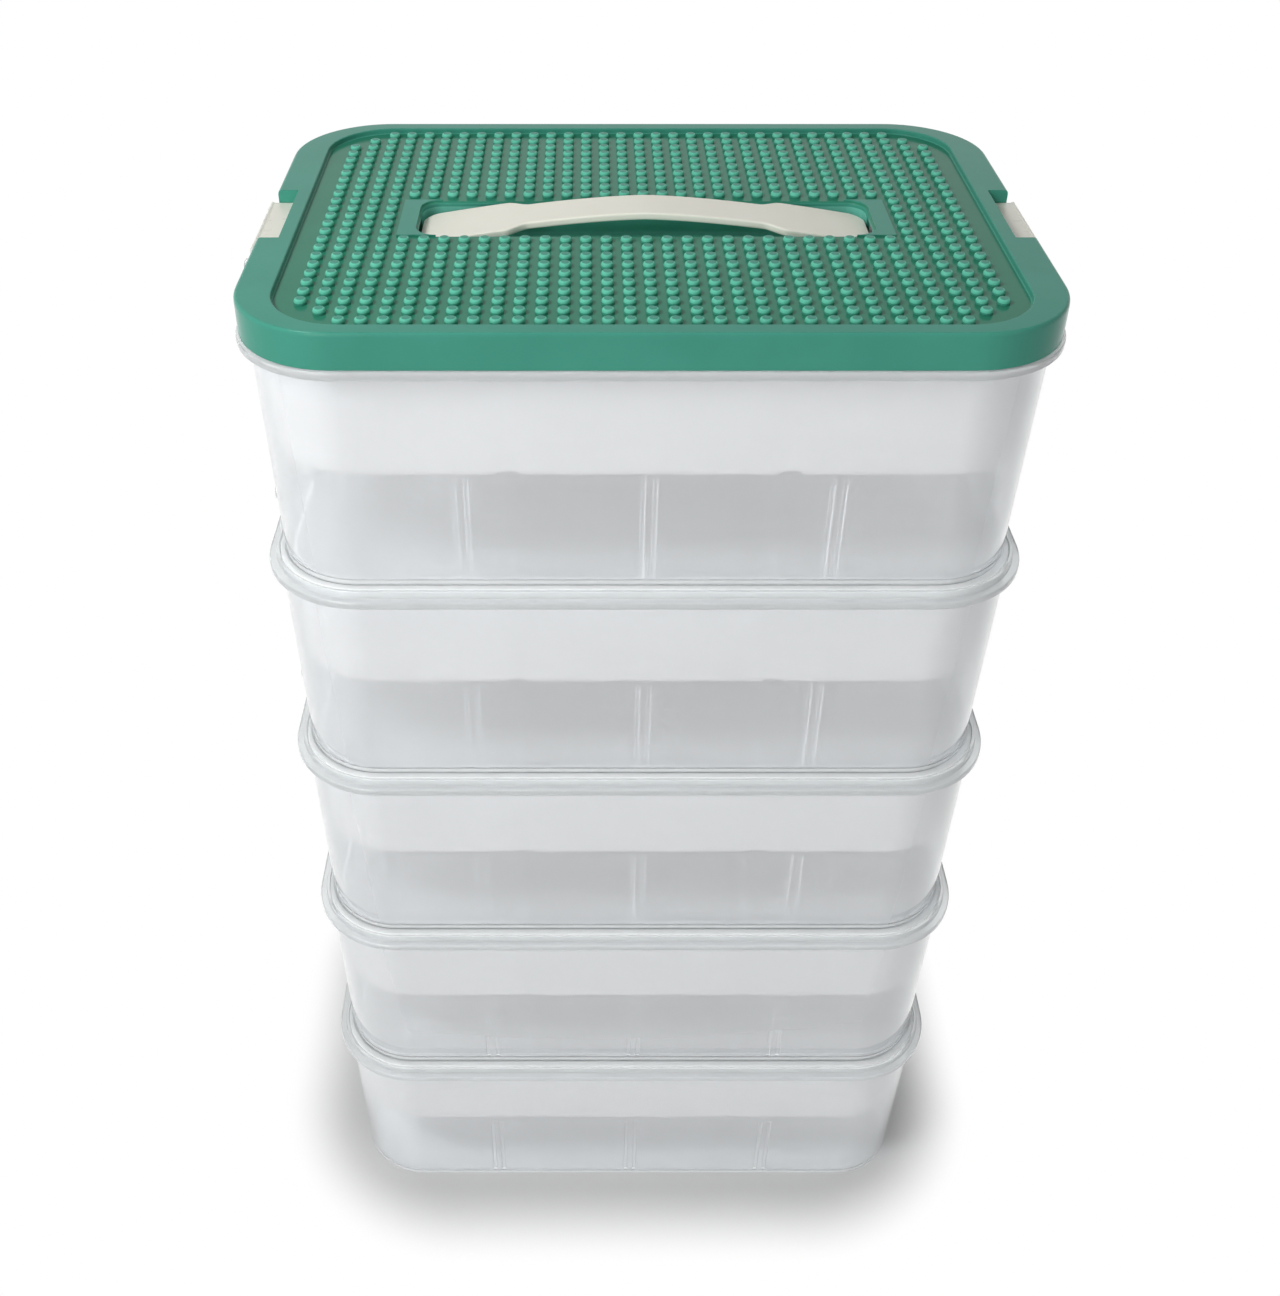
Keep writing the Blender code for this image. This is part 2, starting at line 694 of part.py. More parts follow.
def strap_stations():
    """The places along X where the strap's section is set."""
    middle = [NECK_INNER * share for share in (0, 0.2, 0.4, 0.6, 0.8, 1)]
    neck = [NECK_INNER + (NECK_OUTER - NECK_INNER) * share for share in (0.33, 0.67, 1)]
    lug_shares = (0.35, 0.7, 1)
    straight = HANDLE_HALF - LUG_RADIUS - NECK_OUTER
    lug = [NECK_OUTER + straight * share for share in lug_shares]
    turn = [HANDLE_HALF - LUG_RADIUS * (1 - math.sin(angle)) for angle in (math.pi / 6, math.pi / 3, math.pi / 2)]
    half = middle + neck + lug + turn
    return [-x for x in reversed(half[1:])] + half


def strap_section(x):
    """The strap's outline across X, with its top edges eased."""
    half = handle_half_width(x)
    top = handle_height(x)
    low = top - HANDLE_THICKNESS
    edge = HANDLE_EDGE
    return [
        (x, -half, low),
        (x, half, low),
        (x, half, top - edge),
        (x, half - edge, top),
        (x, -half + edge, top),
        (x, -half, top - edge),
    ]


def handle_leg(side):
    """A leg under a lug, with the tongue that hooks under the lid's plate."""
    foot_z = -PIT_DEPTH + SEAT_GAP
    inner = HANDLE_HALF - LEG_LENGTH
    outer = PIT_HALF_X + PIT_WALL + TONGUE_REACH
    leg_top = handle_height(inner) - HANDLE_THICKNESS / 2
    profile = (
        (inner, foot_z),
        (outer, foot_z),
        (outer, foot_z + TONGUE_THICKNESS),
        (HANDLE_HALF - HANDLE_EDGE, foot_z + TONGUE_THICKNESS),
        (HANDLE_HALF - HANDLE_EDGE, handle_height(HANDLE_HALF) - HANDLE_THICKNESS / 2),
        (inner, leg_top),
    )
    if side < 0:
        profile = mirrored(profile)
    return extrude_profile(profile, -TONGUE_HALF_Y, TONGUE_HALF_Y)


def build_handle():
    """The arched strap and its two legs, standing in the pit."""
    strap = loft([strap_section(x) for x in strap_stations()])
    bmesh.ops.recalc_face_normals(strap, faces=strap.faces)
    handle = add_object("handle", strap, CREAM)
    legs = helper("handle_legs", joined([handle_leg(side) for side in (1, -1)]))
    combine(handle, legs, "UNION")
    for obj in (handle, legs):
        obj.location.z = (BOX_COUNT - 1) * TIER_PITCH + LID_TOP
    return handle


def latch_profile():
    """The latch on the +X side, from its pivot: barrel, outer wall and hook."""
    inner = HALF_RIM + LATCH_WALL_GAP - PIVOT_X
    outer = inner + LATCH_WALL
    tip = HOOK_TIP_X - PIVOT_X
    low = LATCH_SEAT + SEAT_GAP - PIVOT_Z
    high = low + LATCH_PLATE
    ease = LATCH_PLATE / 4
    arc = [math.radians(angle) for angle in (30, 0, -30, -60, -90, -120, -150, -180)]
    barrel = [(BARREL_RADIUS * math.cos(angle), BARREL_RADIUS * math.sin(angle)) for angle in arc]
    return (
        [
            (inner, low),
            (tip + ease, low),
            (tip, low + ease),
            (tip, high - ease),
            (tip + ease, high),
            (inner, high),
            (inner + ease, high + LATCH_RIDGE),
            (outer - ease, high + LATCH_RIDGE),
            (outer, high - ease),
        ]
        + barrel
        + [(-BARREL_RADIUS, BARREL_RADIUS / 2)]
    )


def build_latch_mesh():
    """The mesh that all latches share, with its pins, about its pivot."""
    body = extrude_profile(latch_profile(), -LATCH_HALF_Y, LATCH_HALF_Y)
    latch = add_object("latch_pattern", body)
    reach = LATCH_HALF_Y + EAR_GAP + PIN_LENGTH - SLIDE_GAP
    pin = helper("latch_pin", extrude_profile(circle(0, 0, PIN_RADIUS), -reach, reach))
    combine(latch, pin, "UNION")
    data = settled_mesh(latch, "latch", BEIGE)
    bpy.data.objects.remove(pin, do_unlink=True)
    return data


def main():
    clear_scene()
    box = build_box_mesh()
    tray = build_tray_mesh()
    latch = build_latch_mesh()
    for number in range(1, BOX_COUNT + 1):
        base = (number - 1) * TIER_PITCH
        place(f"box_{number}", box, z=base)
        place(f"tray_{number}", tray, z=base)
        place(f"latch_{number}_right", latch, x=PIVOT_X, z=base + PIVOT_Z)
        place(f"latch_{number}_left", latch, x=-PIVOT_X, z=base + PIVOT_Z, turn=math.pi)
    build_lid()
    build_handle()


main()
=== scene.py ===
"""Looks of the compartment storage box: finely moulded pieces, plastics, light and camera."""

import math

import bmesh
import bpy
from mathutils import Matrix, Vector


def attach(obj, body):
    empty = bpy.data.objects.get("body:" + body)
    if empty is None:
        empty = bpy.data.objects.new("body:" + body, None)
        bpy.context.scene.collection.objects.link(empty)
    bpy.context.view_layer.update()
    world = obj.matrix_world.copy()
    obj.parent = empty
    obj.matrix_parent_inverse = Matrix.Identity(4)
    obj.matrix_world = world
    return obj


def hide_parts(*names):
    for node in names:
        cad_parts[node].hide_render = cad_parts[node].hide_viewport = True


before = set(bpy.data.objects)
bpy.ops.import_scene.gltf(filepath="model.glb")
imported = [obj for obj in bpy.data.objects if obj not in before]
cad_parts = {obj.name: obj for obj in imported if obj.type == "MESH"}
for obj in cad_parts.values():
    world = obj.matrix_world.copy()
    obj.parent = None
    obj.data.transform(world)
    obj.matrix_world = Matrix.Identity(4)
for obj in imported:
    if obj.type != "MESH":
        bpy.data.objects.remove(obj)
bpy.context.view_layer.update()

# Stack, as in the solids
BOX_COUNT = 5
TIER_PITCH = 0.1012
SEAT_GAP = 0.0003
RIM_HALF_X = 0.155
RIM_HALF_Y = 0.110
RIM_RADIUS = 0.041

# Easings: how far from a corner its small curve starts, from the finest to the fullest
HAIR_EASE = 0.0003
TINY_EASE = 0.0004
FINE_EASE = 0.0005
SMALL_EASE = 0.0006
SLIGHT_EASE = 0.0007
PLAIN_EASE = 0.0008
SOFT_EASE = 0.0009
FULL_EASE = 0.0010

# Box
BODY_HEIGHT = 0.0963
LIP_TOP = 0.0997
RIM_TOP = 0.1029
LIP_WIDTH = 0.0031
COLLAR_INSET = 0.0046
BODY_TOP_INSET = 0.0046
BASE_INSET_X = 0.0070
BASE_INSET_Y = 0.0088
BASE_RADIUS = 0.034
BASE_EDGE = 0.0022
RIM_EDGE = 0.0013
BOX_CAP_INSET = 0.010
BOX_WALL = 0.0020
BOX_FLOOR = 0.0022
TRAY_SEAT = 0.0988
RIB_PAIR_SPACING = 0.0720
RIB_SPACING = 0.0047
RIB_WIDTH = 0.0022
RIB_DEPTH = 0.0018
RIB_TOP = 0.0500
RIB_FADE = 0.0030
RIB_TOP_SHARE = 0.25  # of the rib's depth
RIB_CREST_SHARE = 0.6  # of its width
RIB_EASE_SHARE = 0.3  # of its width
FLOOR_LINES_X = (-0.1060, -0.0636, -0.0212, 0.0212, 0.0636, 0.1060)
FLOOR_LINES_Y = (-0.0600, 0.0600)
FLOOR_LINE_WIDTH = 0.0006
FLOOR_LINE_HEIGHT = 0.0003
FLOOR_LINE_MARGIN = 0.0120

# Tray
TRAY_LIP_TOP = 0.1009
TRAY_LIP_LOW = 0.0991
TRAY_LIP_INSET = 0.0050
TRAY_BASE = 0.0504
TRAY_FLOOR_TOP = 0.0520
TRAY_WALL = 0.0015
TRAY_TOP_INSET = 0.0084
TRAY_BASE_INSET = 0.0100
TRAY_EDGE = 0.0055
TRAY_CAP_INSET = 0.012
BEAD_GAP = 0.0005
DIVIDER_OFFSET = 0.0535
DIVIDER_FOOT = 0.0064
DIVIDER_WIDTH = 0.0030
DIVIDER_TOP = 0.0955
DIVIDER_ROOT = (TRAY_BASE + TRAY_FLOOR_TOP) / 2
DIVIDER_CREST_SHARE = 0.3  # of the top's width
DIVIDER_TIP_SHARES = ((1, 1), (0.3, 0.85), (0, 0.4))  # of the crest's height and of the top's width
MIDDLE_DIVIDER = 0.0016
GROOVE_FOOT = 0.0036
GROOVE_TOP = 0.0010
GROOVE_HEIGHT = 0.0260
FLARE_WIDTH = 0.0132
FLARE_HEIGHT = 0.0075
FLARE_STEPS = 6
NOTCH_WIDTH = 0.0095
NOTCH_HEIGHT = 0.0032
NOTCH_POWER = 0.7
NOTCH_STEPS = 12

# Lid, from the base of the top box
LID_BOTTOM = 0.1000
LID_TOP = 0.1147
LID_INSET = 0.0012
SKIRT_WALL = 0.0016
LID_PLATE = 0.0020
LID_EDGE = 0.0022
LID_CAP_INSET = 0.006
BORDER_SIDE = 0.0145
BORDER_FRONT = 0.0070
BORDER_DROP = 0.0024
FIELD_RADIUS = 0.028
PIT_HALF_X = 0.0918
PIT_HALF_Y = 0.0180
PIT_DEPTH = 0.0160
PIT_RADIUS = 0.0080
PIT_WALL = 0.0016
PIT_EDGE = 0.0016
PIT_LIP = 0.0006
PIT_CAP_INSET = 0.005
PIT_STEPS = 12
TUB_EDGE = 0.0012
TUB_CAP_INSET = 0.004
PAD_REACH = 0.0995
PAD_HALF_Y = 0.0186
PAD_HEIGHT = 0.0008

# Studs
STUD_PITCH = 0.008
STUD_COLUMNS = 33
STUD_ROWS = 25
STUD_RADIUS = 0.0024
STUD_HEIGHT = 0.0022
STUD_EDGE = 0.0011
STUD_DRAFT_SHARE = 0.03  # of its radius
STUD_STEPS = 18
STUD_EASE_STEPS = 5
CORNER_STUDS = 2  # left out along each side of a corner
PIT_ROWS = 2  # taken by the pit, to each side of the middle
PIT_COLUMNS = 12

# Handle, from the lid's top
HANDLE_HALF = 0.0912
HANDLE_RISE = 0.0040
HANDLE_SAG = 0.0108
SAG_POWER = 1.5
HANDLE_THICKNESS = 0.0030
HANDLE_EDGE = 0.0009
HANDLE_TIPS = ((0.00005, 0.0003), (0, 0.0008))  # before the end, and how far the section is drawn in
LUG_HALF_Y = 0.0145
ARCH_HALF_Y = 0.0100
NECK_OUTER = 0.0570
NECK_INNER = 0.0470
LUG_RADIUS = 0.0070
ARCH_STEPS = 14
NECK_STEPS = 10
LUG_STEPS = 8
TONGUE_HALF_Y = 0.0070
TONGUE_REACH = 0.0055
TONGUE_THICKNESS = 0.0020
TONGUE_GAP = 0.0004
LEG_LENGTH = 0.0065
LEG_SET_BACK = 0.0008

# Latches and the ears that carry them
PIVOT_X = 0.1578
PIVOT_Z = 0.0982
LATCH_HALF_Y = 0.0248
LATCH_INNER = 0.1556
LATCH_OUTER = 0.1570
LATCH_TIP = 0.1463
LATCH_SEAT = 0.1067
LATCH_PLATE = 0.0022
LATCH_RIDGE = 0.0004
RIDGE_START = 0.0006
BARREL_RADIUS = 0.0019
BARREL_TURNS = range(60, -181, -15)  # degrees
PIN_RADIUS = 0.0013
PIN_END_Y = 0.0282
EAR_NEAR = 0.0254
EAR_FAR = 0.0284
EAR_ROOT = 0.0025
EAR_LOW = 0.0972
EAR_STEP = 0.0988
EAR_TOP = 0.1065
EAR_REACH = 0.0024
EAR_STAND_OFF = 0.0006
EAR_LOW_EDGE = 0.0016
EAR_HIGH_EDGE = 0.0022
EAR_EASE_STEPS = 3
PIN_HOLE_RADIUS = 0.0017
NOTCH_X = 0.1450
NOTCH_HALF_Y = 0.0251
NOTCH_STEP_X = 0.1505
NOTCH_STEP_Z = 0.1042
POCKET_LOW = 0.0055
POCKET_HIGH = 0.0095
BLOCK_WALL = 0.0020

# Steps of curves, shares of easings and small values
OVERRUN = 0.001
CORNER_STEPS = 18
PILLAR_STEPS = 8
EASE_STEPS = 4
ROUND_STEPS = 24
EASE_LIMIT_SHARE = 0.45  # of a side
EDGE_MIDDLE_SHARE = 0.3  # of an end's easing
SHARP_ANGLE = math.radians(38)
NORMAL_WEIGHT = 100
SHORTEST = 1e-6

# Noise: the middle part of its range, its scales for colour and gloss, and the moulded skin
NOISE_LOW = 0.3
NOISE_HIGH = 0.7
NOISE_DETAIL = 3
MOTTLE_SCALE = 35
GLOSS_SCALE = 120
GLOSS_SHARES = (0.85, 1.2)  # of the roughness
SKIN_DETAIL = 2
SKIN_STRENGTH = 0.12

# Solid plastics: two close colours, the roughness, the scale of the skin's noise and its depth,
# and the shader's other inputs
PLASTICS = {
    "white_tray": ((0.514, 0.510, 0.507), (0.544, 0.540, 0.537), 0.38, 900, 0.0001),
    "green_lid": ((0.062, 0.330, 0.244), (0.070, 0.358, 0.266), 0.17, 1400, 0.00008),
    "cream_handle": ((0.970, 0.955, 0.845), (0.990, 0.980, 0.875), 0.42, 1100, 0.0001),
    "beige_latch": ((0.940, 0.900, 0.780), (0.970, 0.940, 0.840), 0.30, 900, 0.0001),
}
PLASTIC_INPUTS = {
    "white_tray": {"Subsurface Weight": 1.0, "Subsurface Scale": 0.006, "Subsurface Radius": (1, 1, 1)},
    "green_lid": {"IOR": 1.21},
    "cream_handle": {},
    "beige_latch": {"Subsurface Weight": 0.4, "Subsurface Scale": 0.003, "Subsurface Radius": (1, 1, 1)},
}

# Clear plastic: how much of its light goes through walls, rim, foot and ribs, and its tints, with painted
# shade on the rim and on walls seen edge-on
CLEAR_SHARE = 0.725
RIM_CLEAR_SHARE = 0.60
FOOT_CLEAR_SHARE = 0.20
RIB_CLEAR_SHARE = 0.685
CLEAR_COLOUR = (0.968, 0.979, 0.989)
# The rim greyer both for its thicker plastic and as painted shade where light from above falls on it
RIM_TINT_AND_PAINTED_SHADE = (0.84, 0.86, 0.865)
# Painted shade: the clear plastic darker where a wall is seen edge-on
GRAZING_PAINTED_SHADE = (0.70, 0.725, 0.735)
GRAZING_POWER = 3
CLEAR_INPUTS = {"IOR": 1.25, "Coat Weight": 0.6, "Coat IOR": 1.5, "Coat Roughness": 0.04}
CLEAR_ROUGHNESS = (0.03, 0.08)
CLEAR_GLOSS_SCALE = 60
WAVE_SCALE = 45
WAVE_STRENGTH = 0.05
WAVE_DEPTH = 0.0002

# The ribs' cloudy mask: shares of their depth, and of their spacing less and plus their width
RIB_MASK_DEPTH_SHARES = (1.1, 0.1)
RIB_MASK_WIDTH_SHARES = (0.476, 0.513)

# Tray: painted light on its thin lip, as a share of its colour
LIP_PAINTED_LIGHT = (1.60, 1.66, 1.68)

# Lid: painted shade on the floor between the studs and painted light on the studs' sides and in the pit,
# as shares of the plastic's colour, and the heights that count as floor and as sides
FIELD_PAINTED_SHADE = (0.55, 0.72, 0.62)
STUD_PAINTED_LIGHT = (2.30, 1.85, 1.80)
PIT_PAINTED_LIGHT = (2.60, 1.65, 1.80)
FIELD_HEIGHT_SHARE = 0.12  # of a stud's height
SIDE_TOP_SHARE = 0.985  # of a stud's height
SIDE_FOOT_SHARE = 1.1  # of the pads' height

# Floor: grey near the stack, a painted shadow on top of its real one, fading to white from FADE_START to
# FADE_END beyond the stack's outline
FLOOR_RADIUS = 6
FLOOR_SEGMENTS = 96
FLOOR_DROP = 0.0002
# The floor's grey, which near the stack is painted shadow
FLOOR_INPUTS = {"Base Color": (0.77, 0.77, 0.77, 1), "Roughness": 0.9, "Specular IOR Level": 0.1}
FADE_RADIUS = 0.065
FADE_START = -0.004
FADE_END = 0.044

# Light: the world's, and each lamp's name, place, the point it looks at, size and power
WORLD_COLOUR = (1.0, 0.995, 0.985, 1)
WORLD_STRENGTH = 0.24
LAMPS = (
    ("key_left", (-0.88, -1.98, 0.62), (0, 0, 0.20), 0.90, 12.0),
    ("lid_left", (-0.50, -0.40, 1.09), (0, 0, 0.50), 0.22, 3.7),
    ("fill_right", (1.60, -1.80, 0.50), (0, 0, 0.20), 1.20, 2.3),
    ("top_back", (-0.15, 0.45, 2.30), (0, 0, 0.30), 1.00, 1.4),
)

# Camera: close to the photograph's own, with only a small lens shift
SENSOR_WIDTH = 36
LENS_SHARE = 1.14060  # of the sensor's width
CAMERA_SHIFT_X = 0.0410
CAMERA_SHIFT_Y = -0.0525
CAMERA_PLACE = (-0.0237, -0.5754, 0.7505)
CAMERA_DIP = math.radians(35.819)  # below the horizon
CLIP_NEAR = 0.01
CLIP_FAR = 50


def outline(half_x, half_y, radius, z, steps=CORNER_STEPS):
    """A rounded rectangle round the Z axis, counter-clockwise from above."""
    points = []
    for quarter, (side_x, side_y) in enumerate(((1, 1), (-1, 1), (-1, -1), (1, -1))):
        centre_x = side_x * (half_x - radius)
        centre_y = side_y * (half_y - radius)
        for step in range(steps + 1):
            angle = (quarter + step / steps) * math.pi / 2
            points.append((centre_x + radius * math.cos(angle), centre_y + radius * math.sin(angle), z))
    return points


def eased(corners, steps=EASE_STEPS):
    """The corners of a path, each (point, easing): a corner with an easing becomes a small curve."""
    path = [corners[0][0]]
    for (before, _), (here, ease), (after, _) in zip(corners, corners[1:], corners[2:]):
        if not ease:
            path.append(here)
            continue
        start, end = (Vector(here), Vector(here))
        back, ahead = (Vector(before) - start, Vector(after) - start)
        start = start + back * min(ease / back.length, EASE_LIMIT_SHARE)
        end = end + ahead * min(ease / ahead.length, EASE_LIMIT_SHARE)
        for step in range(steps + 1):
            share = step / steps
            point = start * (1 - share) ** 2 + Vector(here) * (2 * share * (1 - share)) + end * share**2
            path.append(tuple(point))
    path.append(corners[-1][0])
    return path


def add_rings(mesh, rings):
    """Add a closed shell through rings of as many points, capped at both ends."""
    rows = [[mesh.verts.new(point) for point in ring] for ring in rings]
    mesh.faces.new(list(reversed(rows[0])))
    for low, high in zip(rows, rows[1:]):
        for index, corner in enumerate(low):
            following = (index + 1) % len(low)
            mesh.faces.new((corner, low[following], high[following], high[index]))
    mesh.faces.new(rows[-1])


def loft(rings):
    """One closed mesh through rings of as many points."""
    mesh = bmesh.new()
    add_rings(mesh, rings)
    return mesh


def moulding(corners):
    """A closed mesh of rings along (inset x, inset y, radius, z, easing) from the rim's outline."""
    rings = []
    for inset_x, inset_y, radius, z in eased([((x, y, r, z), ease) for x, y, r, z, ease in corners]):
        rings.append(outline(RIM_HALF_X - inset_x, RIM_HALF_Y - inset_y, radius, z))
    return loft(rings)


def pillar(half_x, half_y, radius, corners, steps=PILLAR_STEPS):
    """A closed mesh of rounded rectangles, from a path of (growth, z, easing)."""
    path = eased([((growth, z), ease) for growth, z, ease in corners])
    return loft([outline(half_x + growth, half_y + growth, radius + growth, z, steps) for growth, z in path])


def extrude_profile(profile, low_y, high_y, edge=0):
    """A prism along Y of a profile of (x, z) points, with its ends' edges eased, turned outwards."""
    centre_x = sum(x for x, _ in profile) / len(profile)
    centre_z = sum(z for _, z in profile) / len(profile)
    stations = [(low_y, 0), (high_y, 0)]
    if edge:
        part = edge * EDGE_MIDDLE_SHARE
        stations = [(low_y, edge), (low_y + part, part), (low_y + edge, 0)]
        stations += [(high_y - edge, 0), (high_y - part, part), (high_y, edge)]
    rings = []
    for y, shrink in stations:
        ring = []
        for x, z in profile:
            away = Vector((x - centre_x, z - centre_z))
            near = away * max(1 - shrink / max(away.length, SHORTEST), 0)
            ring.append((centre_x + near.x, y, centre_z + near.y))
        rings.append(ring)
    mesh = loft(rings)
    bmesh.ops.recalc_face_normals(mesh, faces=mesh.faces)
    return mesh


def block(low, high, mirror=False):
    """A box between two corners, or its image on the other side of the YZ plane."""
    (low_x, low_y, low_z), (high_x, high_y, high_z) = low, high
    if mirror:
        low_x, high_x = (-high_x, -low_x)
    profile = ((low_x, low_z), (high_x, low_z), (high_x, high_z), (low_x, high_z))
    return extrude_profile(profile, low_y, high_y)


def both_sides(low, high):
    """A box between two corners and its image on the other side of the YZ plane."""
    return [block(low, high, mirror) for mirror in (False, True)]


def mirrored(profile):
    """A profile on the other side of the YZ plane."""
    return [(-x, z) for x, z in profile]


def circle(x, z, radius):
    """A circle of (x, z) points."""
    turns = [2 * math.pi * (step + 0.5) / ROUND_STEPS for step in range(ROUND_STEPS)]
    return [(x + radius * math.cos(turn), z + radius * math.sin(turn)) for turn in turns]


def joined(parts):
    """One mesh of several, which keep their own shells."""
    whole = bmesh.new()
    for part in parts:
        scratch = bpy.data.meshes.new("scratch")
        part.to_mesh(scratch)
        part.free()
        whole.from_mesh(scratch)
        bpy.data.meshes.remove(scratch)
    return whole


def temporary(name, mesh):
    """An object that only joins or cuts another."""
    data = bpy.data.meshes.new(name)
    mesh.to_mesh(data)
    mesh.free()
    obj = bpy.data.objects.new(name, data)
    bpy.context.scene.collection.objects.link(obj)
    return obj


def carved(name, body, steps):
    """The body's mesh after each (operation, mesh) of the steps."""
    obj = temporary(name, body)
    helpers = []
    for operation, mesh in steps:
        other = temporary(f"{name}_{operation.lower()}", mesh)
        helpers.append(other)
        modifier = obj.modifiers.new(operation.title(), "BOOLEAN")
        modifier.operation = operation
        modifier.solver = "EXACT"
        modifier.object = other
    bpy.context.view_layer.update()
    evaluated = obj.evaluated_get(bpy.context.evaluated_depsgraph_get())
    data = bpy.data.meshes.new_from_object(evaluated)
    data.name = name
    for other in [obj, *helpers]:
        old = other.data
        bpy.data.objects.remove(other, do_unlink=True)
        bpy.data.meshes.remove(old)
    return data


def finish_mesh(data, material):
    """Smooth shading with sharp edges kept, and the piece's material."""
    data.materials.clear()
    data.materials.append(material)
    data.shade_smooth()
    data.set_sharp_from_angle(angle=SHARP_ANGLE)
    return data


def piece(name, data, node, x=0, z=0, turn=0):
    """A shown piece that stands for a solid and rides with its body."""
    obj = bpy.data.objects.new(name, data)
    obj.location = (x, 0, z)
    obj.rotation_euler = (0, 0, turn)
    bpy.context.scene.collection.objects.link(obj)
    weighted = obj.modifiers.new("Weighted normals", "WEIGHTED_NORMAL")
    weighted.keep_sharp = True
    weighted.weight = NORMAL_WEIGHT
    bpy.context.view_layer.update()
    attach(obj, node)
    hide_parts(node)


def side_wall_y(z):
    """How far the front wall's outside is from the XZ plane at this height."""
    share = z / BODY_HEIGHT
    return RIM_HALF_Y - BASE_INSET_Y - (BODY_TOP_INSET - BASE_INSET_Y) * share


# Materials


def shader_of(name):
    """A new material with its Principled shader, its nodes and its links."""
    material = bpy.data.materials.new(name)
    material.use_nodes = True
    tree = material.node_tree
    return material, tree.nodes["Principled BSDF"], tree.nodes, tree.links


def set_inputs(shader, values):
    """Set the shader's sockets by their names."""
    for name, value in values.items():
        shader.inputs[name].default_value = value


def surface_noise(nodes, links, scale, detail=NOISE_DETAIL):
    """Noise that sits still on the piece."""
    place = nodes.new("ShaderNodeTexCoord")
    noise = nodes.new("ShaderNodeTexNoise")
    noise.inputs["Scale"].default_value = scale
    noise.inputs["Detail"].default_value = detail
    links.new(place.outputs["Object"], noise.inputs["Vector"])
    return noise.outputs["Fac"]


def spread(nodes, links, noise, low, high):
    """Noise spread from low to high."""
    ranged = nodes.new("ShaderNodeMapRange")
    ranged.inputs["From Min"].default_value = NOISE_LOW
    ranged.inputs["From Max"].default_value = NOISE_HIGH
    ranged.inputs["To Min"].default_value = low
    ranged.inputs["To Max"].default_value = high
    links.new(noise, ranged.inputs["Value"])
    return ranged.outputs["Result"]


def bumped(nodes, links, shader, height, strength, distance):
    """Bump on the shader from a height."""
    bump = nodes.new("ShaderNodeBump")
    bump.inputs["Strength"].default_value = strength
    bump.inputs["Distance"].default_value = distance
    links.new(height, bump.inputs["Height"])
    links.new(bump.outputs["Normal"], shader.inputs["Normal"])


def tinted(nodes, links, shader, value, first, second):
    """Base colour between two, by a value."""
    mix = nodes.new("ShaderNodeMix")
    mix.data_type = "RGBA"
    mix.inputs["A"].default_value = (*first, 1)
    mix.inputs["B"].default_value = (*second, 1)
    links.new(value, mix.inputs["Factor"])
    links.new(mix.outputs["Result"], shader.inputs["Base Color"])


def moulded_plastic(name):
    """Solid plastic with a faint mottle in its colour and gloss, and a fine moulded skin."""
    first, second, roughness, grain, depth = PLASTICS[name]
    material, shader, nodes, links = shader_of(name)
    mottle = surface_noise(nodes, links, MOTTLE_SCALE)
    tinted(nodes, links, shader, spread(nodes, links, mottle, 0, 1), first, second)
    low, high = (roughness * share for share in GLOSS_SHARES)
    gloss = spread(nodes, links, surface_noise(nodes, links, GLOSS_SCALE), low, high)
    links.new(gloss, shader.inputs["Roughness"])
    bumped(nodes, links, shader, surface_noise(nodes, links, grain, SKIN_DETAIL), SKIN_STRENGTH, depth)
    set_inputs(shader, PLASTIC_INPUTS[name])
    return material, shader


def object_place(nodes, links):
    """A point's place on its piece, whole and as x, y and z."""
    place = nodes.new("ShaderNodeTexCoord").outputs["Object"]
    parts = nodes.new("ShaderNodeSeparateXYZ")
    links.new(place, parts.inputs["Vector"])
    return place, *(parts.outputs[axis] for axis in "XYZ")


def mixed_shaders(nodes, links, share, first, second, output):
    """The first shader where the share is 0 and the second where it is 1, sent to the output."""
    mix = nodes.new("ShaderNodeMixShader")
    links.new(share, mix.inputs["Fac"])
    links.new(first, mix.inputs[1])
    links.new(second, mix.inputs[2])
    links.new(mix.outputs["Shader"], nodes[output].inputs["Surface"])


def calculated(nodes, links, operation, *values):
    """The result of one step of arithmetic on sockets or numbers."""
    step = nodes.new("ShaderNodeMath")
    step.operation = operation
    for socket, value in zip(step.inputs, values):
        if isinstance(value, (int, float)):
            socket.default_value = value
        else:
            links.new(value, socket)
    return step.outputs["Value"]


def between(nodes, links, value, low, high):
    """1 where the value lies between two numbers."""
    above = calculated(nodes, links, "GREATER_THAN", value, low)
    below = calculated(nodes, links, "LESS_THAN", value, high)
    return calculated(nodes, links, "MULTIPLY", above, below)


def beyond_rectangle(nodes, links, place, half_x, half_y):
    """How far a place is from a rectangle round the Z axis, seen from above."""
    value = place
    steps = (
        ("ABSOLUTE", None),
        ("SUBTRACT", (half_x, half_y, 0)),
        ("MAXIMUM", (0, 0, 0)),
        ("MULTIPLY", (1, 1, 0)),
    )
    for operation, numbers in steps:
        step = nodes.new("ShaderNodeVectorMath")
        step.operation = operation
        links.new(value, step.inputs[0])
        if numbers:
            step.inputs[1].default_value = numbers
        value = step.outputs["Vector"]
    length = nodes.new("ShaderNodeVectorMath")
    length.operation = "LENGTH"
    links.new(value, length.inputs[0])
    return length.outputs["Value"]


def inserted_shade(nodes, links, shader, mask, shade):
    """Multiply the shader's base colour by a shade where the mask is 1."""
    socket = shader.inputs["Base Color"]
    mix = nodes.new("ShaderNodeMix")
    mix.data_type = "RGBA"
    mix.blend_type = "MULTIPLY"
    mix.inputs["B"].default_value = (*shade, 1)
    links.new(socket.links[0].from_socket, mix.inputs["A"])
    links.new(mask, mix.inputs["Factor"])
    links.new(mix.outputs["Result"], socket)


